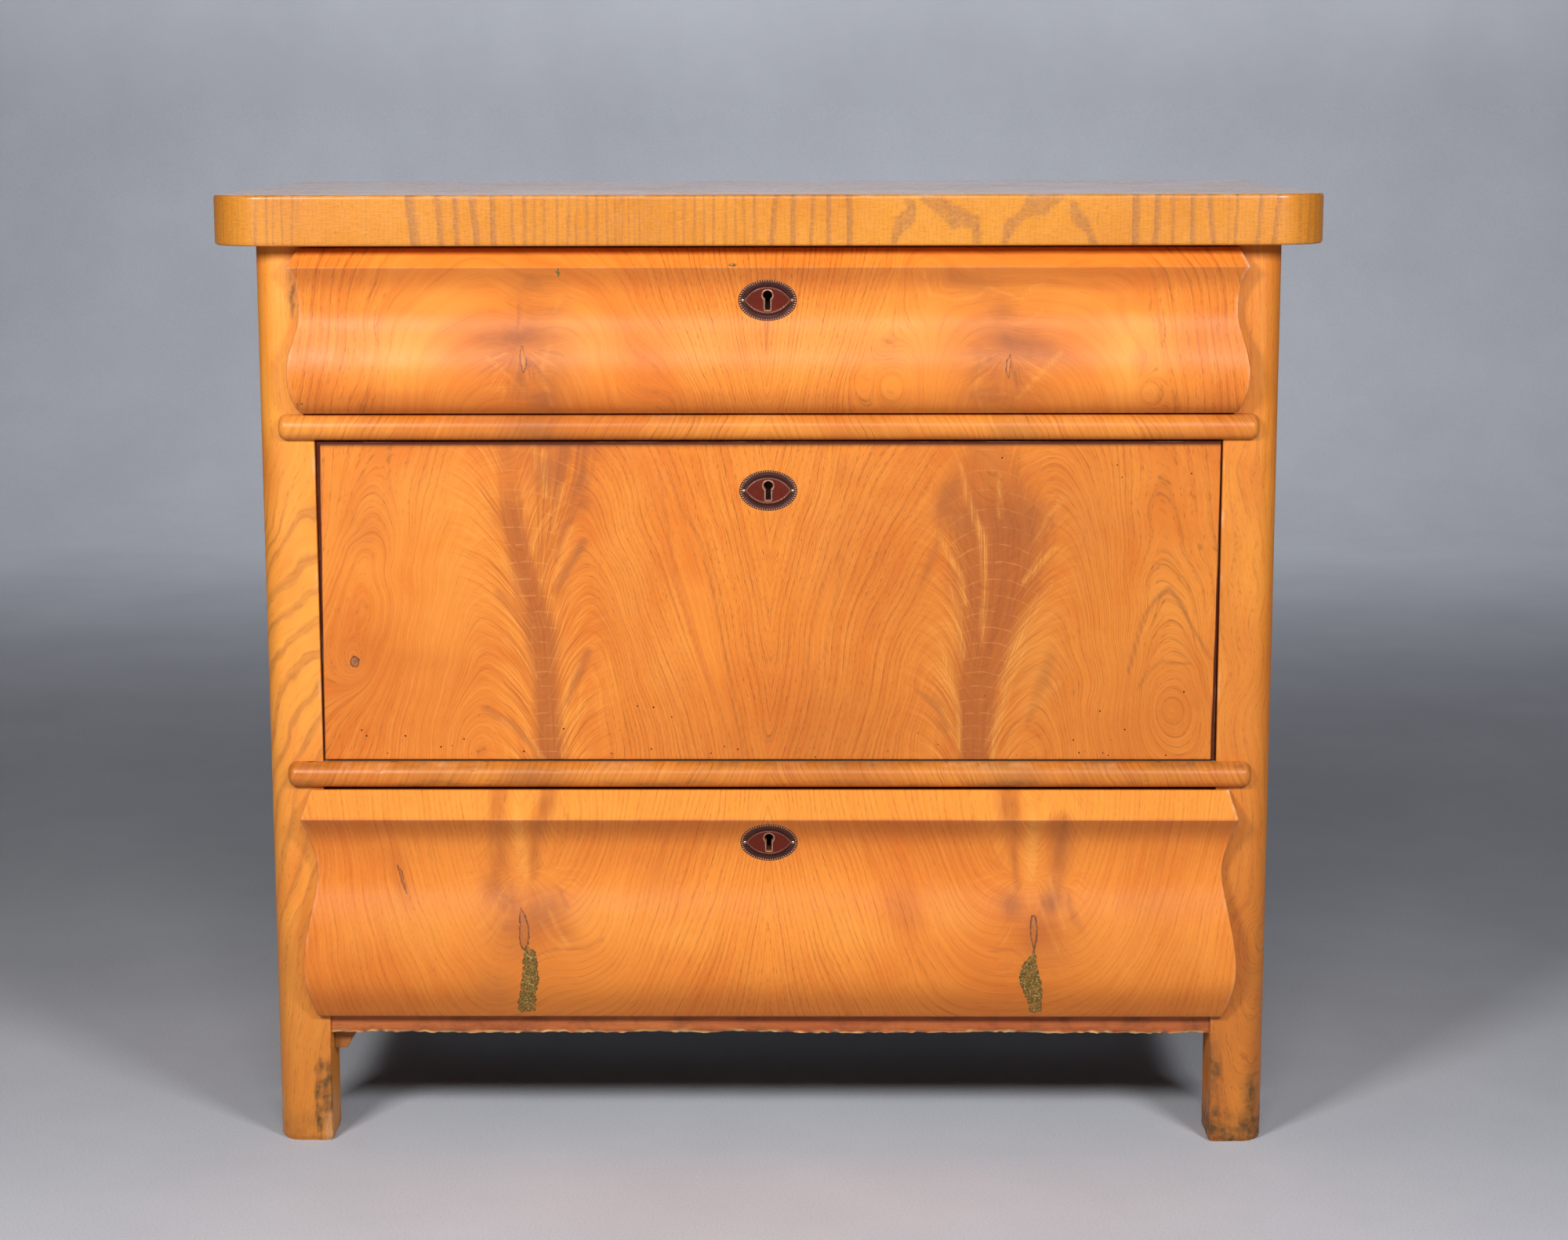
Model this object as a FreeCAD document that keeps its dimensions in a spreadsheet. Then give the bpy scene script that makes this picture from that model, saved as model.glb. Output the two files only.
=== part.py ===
import FreeCAD, Part
import os
import re

V = FreeCAD.Vector

# Chest of three full-width drawers with ogee top and bottom fronts.
# Millimetres, +Z up, origin on the floor under the middle of the plan box,
# fronts facing -Y.  Depths below are measured from the front plane of the
# posts (y_front), negative towards the viewer.

doc = FreeCAD.newDocument("chest")
sheet = doc.addObject("Spreadsheet::Sheet", "dims")

CELLS = [
    # overall and top
    ("top_width", 1010), ("top_depth", 534), ("top_thick", 45.5), ("total_height", 896),
    ("top_over", 33), ("top_corner", 50), ("top_ease", 3), ("y_front", -234),
    # posts
    ("post_out", 469), ("post_wide", 52), ("post_deep", 50), ("post_round", 22),
    ("rear_wide", 48), ("rear_deep", 45), ("back_plane", 490),
    # side panels
    ("panel_thick", 18), ("panel_set", 4), ("panel_low", 106),
    ("tongue_thick", 8), ("tongue_deep", 10),
    # rails, upright bounds
    ("top_rail_low", 828), ("up_rail_low", 673), ("up_rail_high", 696),
    ("lo_rail_low", 347), ("lo_rail_high", 370.5), ("bot_rail_low", 106), ("bot_rail_high", 123.5),
    ("rail_deep", 50), ("bot_rail_set", 4), ("tenon_long", 25), ("tenon_half", 5.5),
    ("tenon_near", 8), ("tenon_far", 42),
    ("rear_rail_thick", 22), ("rear_tenon", 20), ("top_rear_low", 820), ("bot_rear_low", 102),
    # beads
    ("bead_high", 24), ("bead_proud", 12), ("bead_half", 449), ("bead_end", 7),
    ("up_bead_low", 672.2), ("lo_bead_low", 346.6),
    # runners, kickers, stops
    ("runner_in", 390), ("guide_in", 416), ("guide_high", 23), ("stop_high", 5),
    ("stop_near", 22.5), ("stop_deep", 20), ("stop_long", 40), ("stop_at", 150),
    # back boards and nails
    ("back_thick", 12), ("back_at", 468), ("back_half", 432), ("back_low", 108),
    ("back_mid", 480), ("back_high", 848), ("lap_thick", 4), ("lap_high", 6),
    ("nail_side", 3), ("nail_long", 28), ("nail_head", 7), ("nail_cap", 1.5),
    ("nail_pitch", 170), ("nail_up", 836), ("nail_down", 114),
    # dowels
    ("dowel_rad", 6), ("dowel_in_post", 22), ("dowel_in_top", 18), ("dowel_x", 454),
    ("dowel_front", 24), ("dowel_rear", 472),
    # glue block
    ("block_wide", 24), ("block_toe", 12), ("block_high", 20), ("block_near", 20), ("block_far", 50),
    # drawers
    ("front_half", 415), ("slab_span", 445), ("slab_back", -1), ("core_back", 22), ("flat_front", 0.5),
    ("side_out", 414.5), ("side_thick", 13), ("drawer_end", 432), ("dback_thick", 14),
    ("floor_thick", 8), ("floor_rise", 10), ("floor_half", 407), ("groove_deep", 6),
    ("tail_long", 16), ("tail_slope", 2.6), ("tail_share", 0.36), ("dback_drop", 5),
    ("td_low", 696.5), ("td_core_low", 699), ("td_core_high", 826), ("td_high", 822), ("td_key", 800.6), ("td_face", -11.6),
    ("md_low", 371), ("md_core_low", 372.5), ("md_core_high", 670.5), ("md_high", 666), ("md_key", 625.3), ("md_face", 0.5),
    ("bd_low", 124), ("bd_core_low", 126), ("bd_core_high", 343.5), ("bd_high", 338), ("bd_key", 297), ("bd_face", -15),
    # locks and escutcheons
    ("lock_half", 38), ("case_half", 30), ("case_near", 10), ("plate_thick", 2), ("lock_under", 18),
    ("chamber_half", 6), ("chamber_under", 11), ("bolt_half", 11), ("bolt_near", 13), ("bolt_far", 18),
    ("bolt_gap", 0.4), ("bolt_over", 10), ("bolt_sink", 0.5),
    ("slot_half", 13), ("slot_near", 11.5), ("slot_far", 19.5), ("slot_deep", 12),
    ("screw_x", 34), ("screw_rad", 1.6), ("screw_head", 3.2), ("screw_sink", 1.8), ("screw_long", 12),
    ("key_rad", 4.2), ("key_rise", 4.5), ("key_half", 2.3), ("key_drop", 8.8),
    ("esc_wide", 26.6), ("esc_high", 18.6), ("esc_thick", 1.6), ("esc_gap", 0.05),
    ("pin_x", 22.5), ("pin_rad", 0.8), ("pin_head", 1.7), ("pin_cap", 1.0), ("pin_long", 9),
]
VAL = dict(CELLS)
for i, (alias, number) in enumerate(CELLS, start=1):
    sheet.set("A%d" % i, alias)
    sheet.set("B%d" % i, str(number))
    sheet.setAlias("B%d" % i, alias)
doc.recompute()

WORD = re.compile(r"[a-z_]+")


def ex(text):
    """An expression with every dimension word read from the sheet."""
    text = str(text)
    return WORD.sub(lambda hit: "dims." + hit.group(0) if hit.group(0) in VAL else hit.group(0), text)


COUNT = [0]


def fresh(stem):
    COUNT[0] += 1
    return "%s_%03d" % (stem, COUNT[0])


def bind(obj, prop, text):
    obj.setExpression(prop, ex(text))


def place(obj, px, py, pz):
    bind(obj, "Placement.Base.x", px)
    bind(obj, "Placement.Base.y", "y_front + (%s)" % py)
    bind(obj, "Placement.Base.z", pz)


def box(xa, xb, ya, yb, za, zb):
    """Block between two corners; depths run from the front plane of the posts."""
    obj = doc.addObject("Part::Box", fresh("block"))
    bind(obj, "Length", "(%s) - (%s)" % (xb, xa))
    bind(obj, "Width", "(%s) - (%s)" % (yb, ya))
    bind(obj, "Height", "(%s) - (%s)" % (zb, za))
    place(obj, xa, ya, za)
    return obj


def sbox(side, xa, xb, ya, yb, za, zb):
    """Block on one side of the chest: side +1 is right, -1 is its mirror."""
    if side > 0:
        return box(xa, xb, ya, yb, za, zb)
    return box("-(%s)" % xb, "-(%s)" % xa, ya, yb, za, zb)


def sx(side, text):
    return text if side > 0 else "-(%s)" % text


TOWARDS_FRONT = FreeCAD.Rotation(V(1, 0, 0), 90)    # local Z turned to -Y
UPRIGHT = FreeCAD.Rotation()


def cyl(rad, length, px, py, pz, turn):
    obj = doc.addObject("Part::Cylinder", fresh("round"))
    obj.Placement = FreeCAD.Placement(V(0, 0, 0), turn)
    bind(obj, "Radius", rad)
    bind(obj, "Height", length)
    place(obj, px, py, pz)
    return obj


def cone(rad_a, rad_b, length, px, py, pz, turn):
    obj = doc.addObject("Part::Cone", fresh("taper"))
    obj.Placement = FreeCAD.Placement(V(0, 0, 0), turn)
    bind(obj, "Radius1", rad_a)
    bind(obj, "Radius2", rad_b)
    bind(obj, "Height", length)
    place(obj, px, py, pz)
    return obj


def fuse(items):
    if len(items) == 1:
        return items[0]
    obj = doc.addObject("Part::MultiFuse", fresh("joined"))
    obj.Shapes = items
    obj.Refine = True
    return obj


def group(items):
    obj = doc.addObject("Part::Compound", fresh("set"))
    obj.Links = items
    return obj


def cut(base, tools):
    for tool in tools:
        obj = doc.addObject("Part::Cut", fresh("cut"))
        obj.Base = base
        obj.Tool = tool
        obj.Refine = True
        base = obj
    return base


def common(base, tool):
    obj = doc.addObject("Part::Common", fresh("shared"))
    obj.Base = base
    obj.Tool = tool
    return obj


NODES = []


def node(obj, label):
    obj.Label = label
    NODES.append((label, obj))
    return obj


def plane_of(body, role):
    return [f for f in body.Origin.OriginFeatures if f.Role == role][0]


def sketch_on(body, role, name):
    sk = body.newObject("Sketcher::SketchObject", name)
    sk.AttachmentSupport = [(plane_of(body, role), "")]
    sk.MapMode = "FlatFace"
    return sk


def rectangle(sk, wide, deep):
    """Rectangle from the sketch origin, its two sizes read from the sheet."""
    import Sketcher
    pts = [V(0, 0, 0), V(100, 0, 0), V(100, 60, 0), V(0, 60, 0)]
    for i in range(4):
        sk.addGeometry(Part.LineSegment(pts[i], pts[(i + 1) % 4]), False)
    for i in range(4):
        sk.addConstraint(Sketcher.Constraint("Coincident", i, 2, (i + 1) % 4, 1))
    sk.addConstraint(Sketcher.Constraint("Horizontal", 0))
    sk.addConstraint(Sketcher.Constraint("Horizontal", 2))
    sk.addConstraint(Sketcher.Constraint("Vertical", 1))
    sk.addConstraint(Sketcher.Constraint("Vertical", 3))
    sk.addConstraint(Sketcher.Constraint("Coincident", 0, 1, -1, 1))
    a = sk.addConstraint(Sketcher.Constraint("DistanceX", 0, 1, 0, 2, 100))
    b = sk.addConstraint(Sketcher.Constraint("DistanceY", 1, 1, 1, 2, 60))
    sk.setExpression("Constraints[%d]" % a, ex(wide))
    sk.setExpression("Constraints[%d]" % b, ex(deep))


def edges_where(shape, test):
    return ["Edge%d" % (i + 1) for i, e in enumerate(shape.Edges) if test(e)]


def upright_at(px, py, tol=0.01):
    def test(e):
        a, b = e.Vertexes[0].Point, e.Vertexes[-1].Point
        return (abs(a.x - px) < tol and abs(b.x - px) < tol and abs(a.y - py) < tol
                and abs(b.y - py) < tol and abs(a.z - b.z) > 1)
    return test


# ------------------------------------------------------------------ top panel
CARC_TOP = "total_height - top_thick"
OPEN = "post_out - post_wide"

top = doc.addObject("PartDesign::Body", "top_board")
sk = sketch_on(top, "XY_Plane", "top_plan")
rectangle(sk, "top_width", "top_depth")
pad = top.newObject("PartDesign::Pad", "top_pad")
pad.Profile = sk
bind(pad, "Length", "top_thick")
doc.recompute()
corner = top.newObject("PartDesign::Fillet", "top_corners")
corner.Base = (pad, edges_where(pad.Shape, upright_at(0, 0)) + edges_where(pad.Shape, upright_at(VAL["top_width"], 0)))
bind(corner, "Radius", "top_corner")
doc.recompute()
ease = top.newObject("PartDesign::Fillet", "top_edges")
ease.Base = (corner, edges_where(corner.Shape, lambda e: abs(e.BoundBox.ZMax - e.BoundBox.ZMin) < 1e-6
                                 and e.BoundBox.YMin < VAL["top_depth"] - 1))
bind(ease, "Radius", "top_ease")
bind(top, "Placement.Base.x", "-top_width / 2")
bind(top, "Placement.Base.y", "y_front - top_over")
bind(top, "Placement.Base.z", CARC_TOP)
doc.recompute()

dowels = []
for s in (-1, 1):
    for depth in ("dowel_front", "dowel_rear"):
        dowels.append(cyl("dowel_rad", "dowel_in_post + dowel_in_top", sx(s, "dowel_x"), depth,
                          "%s - dowel_in_post" % CARC_TOP, UPRIGHT))
dowel_set = node(group(dowels), "top_dowels")
node(cut(top, dowels), "top_panel")

# ------------------------------------------------------------------ posts and panels
PANEL_IN = "post_out - panel_set - panel_thick"
PANEL_OUT = "post_out - panel_set"
TONGUE_IN = "post_out - panel_set - (panel_thick + tongue_thick) / 2"
TONGUE_OUT = "post_out - panel_set - (panel_thick - tongue_thick) / 2"
REAR_FACE = "back_plane - rear_deep"
MID = {"top": "(top_rail_low + %s) / 2" % CARC_TOP, "up": "(up_rail_low + up_rail_high) / 2",
       "lo": "(lo_rail_low + lo_rail_high) / 2", "bot": "(bot_rail_low + bot_rail_high) / 2"}


def front_tenon(side, key):
    return sbox(side, OPEN, "%s + tenon_long" % OPEN, "tenon_near", "tenon_far",
                "%s - tenon_half" % MID[key], "%s + tenon_half" % MID[key])


def rear_tenon(side, low, high):
    return sbox(side, "post_out - rear_wide", "post_out - rear_wide + rear_tenon", "%s + 5" % REAR_FACE,
                "%s + rear_rail_thick - 5" % REAR_FACE, "%s + 5" % low, "%s - 5" % high)


REAR_RAILS = (("top_rear_rail", "top_rear_low", CARC_TOP), ("bottom_rear_rail", "bot_rear_low", "bot_rail_high"))

for s, word in ((-1, "left"), (1, "right")):
    # front post: square stock, outer front arris rounded, mortised for the rails
    body = doc.addObject("PartDesign::Body", "front_stock_" + word)
    sk = sketch_on(body, "XY_Plane", "front_plan_" + word)
    rectangle(sk, "post_wide", "post_deep")
    pad = body.newObject("PartDesign::Pad", "front_pad_" + word)
    pad.Profile = sk
    bind(pad, "Length", CARC_TOP)
    doc.recompute()
    arris = body.newObject("PartDesign::Fillet", "front_arris_" + word)
    arris.Base = (pad, edges_where(pad.Shape, upright_at(0 if s < 0 else VAL["post_wide"], 0)))
    bind(arris, "Radius", "post_round")
    bind(body, "Placement.Base.x", OPEN if s > 0 else "-post_out")
    bind(body, "Placement.Base.y", "y_front")
    doc.recompute()
    tools = [front_tenon(s, k) for k in ("top", "up", "lo", "bot")]
    tools.append(sbox(s, TONGUE_IN, TONGUE_OUT, "post_deep - tongue_deep", "post_deep", "panel_low", CARC_TOP))
    tools.append(dowels[0 if s < 0 else 2])
    node(cut(body, tools), "front_post_" + word)

    # rear post
    stock = sbox(s, "post_out - rear_wide", "post_out", REAR_FACE, "back_plane", "0", CARC_TOP)
    tools = [rear_tenon(s, a, b) for _, a, b in REAR_RAILS]
    tools.append(sbox(s, TONGUE_IN, TONGUE_OUT, REAR_FACE, "%s + tongue_deep" % REAR_FACE, "panel_low", CARC_TOP))
    tools.append(sbox(s, "post_out - rear_wide", "back_half", "back_at", "back_at + back_thick", "back_low", "back_high"))
    tools.append(dowels[1 if s < 0 else 3])
    node(cut(stock, tools), "rear_post_" + word)

    # side panel with a tongue on each upright edge
    node(fuse([sbox(s, PANEL_IN, PANEL_OUT, "post_deep", REAR_FACE, "panel_low", CARC_TOP),
               sbox(s, TONGUE_IN, TONGUE_OUT, "post_deep - tongue_deep", "post_deep", "panel_low", CARC_TOP),
               sbox(s, TONGUE_IN, TONGUE_OUT, REAR_FACE, "%s + tongue_deep" % REAR_FACE, "panel_low", CARC_TOP)]),
         "side_panel_" + word)

# ------------------------------------------------------------------ rails
FRONT_RAILS = (("top_front_rail", "top", "top_rail_low", CARC_TOP, "0.5"),
               ("upper_divider_rail", "up", "up_rail_low", "up_rail_high", "0"),
               ("lower_divider_rail", "lo", "lo_rail_low", "lo_rail_high", "0"),
               ("bottom_front_rail", "bot", "bot_rail_low", "bot_rail_high", "bot_rail_set"))
for label, key, low, high, face in FRONT_RAILS:
    rail = fuse([box("-(%s)" % OPEN, OPEN, face, "rail_deep", low, high), front_tenon(-1, key), front_tenon(1, key)])
    if key != "bot":
        # blind mortise for the lock bolt of the drawer below
        rail = cut(rail, [box("-slot_half", "slot_half", "slot_near", "slot_far", low, "%s + slot_deep" % low)])
    node(rail, label)

nails = {}
for key, level in (("up", "nail_up"), ("down", "nail_down")):
    row = []
    for k in range(-2, 3):
        mid = "%d * nail_pitch" % k
        row.append(fuse([
            box("%s - nail_side / 2" % mid, "%s + nail_side / 2" % mid, "back_at + back_thick - nail_long",
                "back_at + back_thick", "%s - nail_side / 2" % level, "%s + nail_side / 2" % level),
            box("%s - nail_head / 2" % mid, "%s + nail_head / 2" % mid, "back_at + back_thick",
                "back_at + back_thick + nail_cap", "%s - nail_head / 2" % level, "%s + nail_head / 2" % level)]))
    nails[key] = row
node(group(nails["up"] + nails["down"]), "back_nails")

for (label, low, high), row in zip(REAR_RAILS, (nails["up"], nails["down"])):
    rail = fuse([box("-(post_out - rear_wide)", "post_out - rear_wide", REAR_FACE, "%s + rear_rail_thick" % REAR_FACE, low, high),
                 rear_tenon(-1, low, high), rear_tenon(1, low, high)])
    node(cut(rail, [group(row)]), label)

# ------------------------------------------------------------------ back boards
LAP_A = "back_at + (back_thick - lap_thick) / 2"
LAP_B = "back_at + (back_thick + lap_thick) / 2"
lower = fuse([box("-back_half", "back_half", "back_at", "back_at + back_thick", "back_low", "back_mid"),
              box("-back_half", "back_half", LAP_A, LAP_B, "back_mid", "back_mid + lap_high")])
node(cut(lower, [group(nails["down"])]), "back_board_lower")
upper = box("-back_half", "back_half", "back_at", "back_at + back_thick", "back_mid", "back_high")
node(cut(upper, [box("-back_half", "back_half", LAP_A, LAP_B, "back_mid", "back_mid + lap_high"),
                 group(nails["up"])]), "back_board_upper")


# ------------------------------------------------------------------ beads
def bead(label, low):
    high, proud = VAL["bead_high"], VAL["bead_proud"]
    body = doc.addObject("PartDesign::Body", label + "_stock")
    sk = sketch_on(body, "YZ_Plane", label + "_section")
    sk.addGeometry(Part.LineSegment(V(0, 0, 0), V(0, high, 0)), False)
    sk.addGeometry(Part.Arc(V(0, high, 0), V(-proud, high / 2.0, 0), V(0, 0, 0)), False)
    pad = body.newObject("PartDesign::Pad", label + "_pad")
    pad.Profile = sk
    bind(pad, "Length", "2 * bead_half")
    doc.recompute()
    ends = body.newObject("PartDesign::Fillet", label + "_ends")
    ends.Base = (pad, edges_where(pad.Shape, lambda e: e.BoundBox.XLength < 1e-6 and e.BoundBox.YLength > 1))
    bind(ends, "Radius", "bead_end")
    bind(body, "Placement.Base.x", "-bead_half")
    bind(body, "Placement.Base.y", "y_front")
    bind(body, "Placement.Base.z", low)
    doc.recompute()
    node(body, label)


bead("upper_bead", "up_bead_low")
bead("lower_bead", "lo_bead_low")

# ------------------------------------------------------------------ runners, kickers, stops, glue block
for s, word in ((-1, "left"), (1, "right")):
    for name, low, high in (("upper", "up_rail_low + 1", "up_rail_high"), ("middle", "lo_rail_low + 1", "lo_rail_high"),
                            ("lower", "bot_rail_low", "bot_rail_high")):
        # bearing strip with a guide lip along the outside of the drawer side
        node(fuse([sbox(s, "runner_in", PANEL_IN, "post_deep", REAR_FACE, low, high),
                   sbox(s, "guide_in", PANEL_IN, "post_deep", REAR_FACE, high, "%s + guide_high" % high)]),
             "%s_runner_%s" % (name, word))
    node(sbox(s, "runner_in", PANEL_IN, "post_deep", REAR_FACE, "top_rail_low", CARC_TOP), "kicker_" + word)

stops = []
for high in ("up_rail_high", "lo_rail_high", "bot_rail_high"):
    for s in (-1, 1):
        stops.append(sbox(s, "stop_at", "stop_at + stop_long", "stop_near", "stop_near + stop_deep", high, "%s + stop_high" % high))
node(group(stops), "drawer_stops")

block = doc.addObject("Part::Wedge", "glue_wedge")
block.Placement = FreeCAD.Placement(V(0, 0, 0), FreeCAD.Rotation(V(1, 0, 0), 90))   # local Y up, local Z to the front
for prop, text in (("Xmin", "0"), ("Xmax", "block_toe"), ("Ymin", "0"), ("Ymax", "block_high"), ("Zmin", "0"),
                   ("Zmax", "block_far - block_near"), ("X2min", "0"), ("X2max", "block_wide"), ("Z2min", "0"),
                   ("Z2max", "block_far - block_near")):
    bind(block, prop, text)
place(block, "-(%s)" % OPEN, "block_far", "bot_rail_low - block_high")
node(block, "corner_glue_block")

# ------------------------------------------------------------------ drawers
# Sections of the two shaped fronts from the arris down, (depth, height), and
# the outlines of their ends in elevation, (half width, height): the moulding
# returns round the ends, so both follow the same ogee.
TOP_OGEE = [(-21, 830.5), (-17.8, 823), (-14.4, 813), (-12, 803), (-11, 793), (-11.4, 784.5), (-13.2, 776),
            (-16.2, 767), (-19.6, 757.5), (-22.3, 748), (-23.8, 738.5), (-24, 730), (-22.8, 720.5), (-19.6, 711),
            (-14.8, 703), (-9, 698)]
TOP_END = [(434.5, 830.5), (430.5, 823), (427.6, 813), (426.2, 803), (425.8, 793), (426.4, 784.5), (428, 776),
           (430.6, 767), (433.4, 757.5), (435.4, 748), (436.4, 738.5), (436.4, 730), (435.4, 720.5), (433, 711),
           (429.8, 703), (427, 698)]
LOW_OGEE = [(-25, 320), (-21.2, 312.5), (-17, 303), (-13.6, 292.5), (-11.2, 282), (-10.2, 271.5), (-10.8, 261),
            (-12.8, 250.5), (-15.8, 240), (-18.8, 229.5), (-21.4, 218.5), (-23.2, 207.5), (-24, 196), (-23.6, 184),
            (-22, 171.5), (-19, 159), (-15, 147), (-10.8, 136), (-7, 126)]
LOW_END = [(435.5, 320), (431.5, 309), (427.6, 295), (424.2, 282), (422.8, 271), (423.4, 259), (425.4, 246),
           (428, 233), (430.8, 219), (433.2, 206), (435.2, 193), (436.4, 180), (436.4, 167), (434.8, 154),
           (431.6, 141), (428.4, 131), (427, 126)]


def curve(points, shift=0.0):
    line = Part.BSplineCurve()
    line.interpolate([V(a + shift, b, 0) for a, b in points])
    return line


def shaped_slab(label, ogee, ends, crest):
    """Moulded facing: bevelled shelf, arris, cove and belly, returned at both ends."""
    back, low = VAL["slab_back"], ogee[-1][1]
    body = doc.addObject("PartDesign::Body", label + "_facing")
    sk = sketch_on(body, "YZ_Plane", label + "_section")
    pts = [V(ogee[-1][0], low, 0), V(back, low, 0), V(back, crest[2], 0), V(crest[0], crest[2], 0),
           V(ogee[0][0], ogee[0][1], 0)]
    sk.addGeometry(curve(ogee), False)
    for a, b in zip(pts[:-1], pts[1:]):
        sk.addGeometry(Part.LineSegment(a, b), False)
    pad = body.newObject("PartDesign::Pad", label + "_pad")
    pad.Profile = sk
    bind(pad, "Length", "2 * slab_span")
    bind(body, "Placement.Base.x", "-slab_span")
    bind(body, "Placement.Base.y", "y_front")

    face = doc.addObject("PartDesign::Body", label + "_outline")
    sk = sketch_on(face, "XZ_Plane", label + "_elevation")
    mirrored = [(-a, b) for a, b in ends]
    sk.addGeometry(curve(ends), False)
    sk.addGeometry(curve(mirrored), False)
    for run in ([V(ends[0][0], ends[0][1], 0), V(crest[1], crest[2], 0), V(-crest[1], crest[2], 0),
                 V(-ends[0][0], ends[0][1], 0)],
                [V(ends[-1][0], ends[-1][1], 0), V(-ends[-1][0], ends[-1][1], 0)]):
        for a, b in zip(run[:-1], run[1:]):
            sk.addGeometry(Part.LineSegment(a, b), False)
    pad = face.newObject("PartDesign::Pad", label + "_outline_pad")
    pad.Profile = sk
    bind(pad, "Length", "2 * lock_half")
    bind(face, "Placement.Base.y", "y_front + slab_back")
    return common(body, face)


def shaped_plate(label, ogee):
    """Thin skin that follows the moulded facing, for a plate bent to it."""
    near, far = -VAL["esc_gap"], -(VAL["esc_gap"] + VAL["esc_thick"])
    body = doc.addObject("PartDesign::Body", label + "_skin")
    sk = sketch_on(body, "YZ_Plane", label + "_skin_section")
    sk.addGeometry(curve(ogee, near), False)
    sk.addGeometry(curve(ogee, far), False)
    for k in (0, -1):
        sk.addGeometry(Part.LineSegment(V(ogee[k][0] + near, ogee[k][1], 0), V(ogee[k][0] + far, ogee[k][1], 0)), False)
    pad = body.newObject("PartDesign::Pad", label + "_skin_pad")
    pad.Profile = sk
    bind(pad, "Length", "2 * lock_half")
    bind(body, "Placement.Base.x", "-lock_half")
    bind(body, "Placement.Base.y", "y_front")
    return body


def oval(key):
    """Upright oval block through the front, the outline of an escutcheon."""
    ring = doc.addObject("Part::Ellipse", fresh("oval"))
    ring.Placement = FreeCAD.Placement(V(0, 0, 0), TOWARDS_FRONT)
    bind(ring, "MajorRadius", "esc_wide")
    bind(ring, "MinorRadius", "esc_high")
    place(ring, "0", "20", key)
    solid = doc.addObject("Part::Extrusion", fresh("oval_block"))
    solid.Base = ring
    solid.DirMode = "Custom"
    solid.Dir = V(0, -1, 0)
    solid.LengthFwd = 100
    solid.Solid = True
    return solid


def tails(side, low, high, count, root, tip):
    """Dovetails of a drawer side, widening from root to tip along the depth."""
    out = []
    pitch = "((%s) - (%s)) / %d" % (high, low, count)
    for k in range(count):
        mid = "(%s) + (%s) * %.1f" % (low, pitch, k + 0.5)
        wide = "(%s) * tail_share" % pitch
        slim = "(%s) * tail_share - tail_slope" % pitch
        forward = tip == "front"
        obj = doc.addObject("Part::Wedge", fresh("tail"))
        bind(obj, "Xmin", "0"), bind(obj, "X2min", "0")
        bind(obj, "Xmax", "side_thick"), bind(obj, "X2max", "side_thick")
        bind(obj, "Ymin", "0")
        bind(obj, "Ymax", "tail_long" if forward else "dback_thick")
        a, b = (wide, slim) if forward else (slim, wide)
        bind(obj, "Zmin", "-(%s)" % a), bind(obj, "Zmax", a)
        bind(obj, "Z2min", "-(%s)" % b), bind(obj, "Z2max", b)
        place(obj, "side_out - side_thick" if side > 0 else "-side_out", root, mid)
        out.append(obj)
    return out


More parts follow.
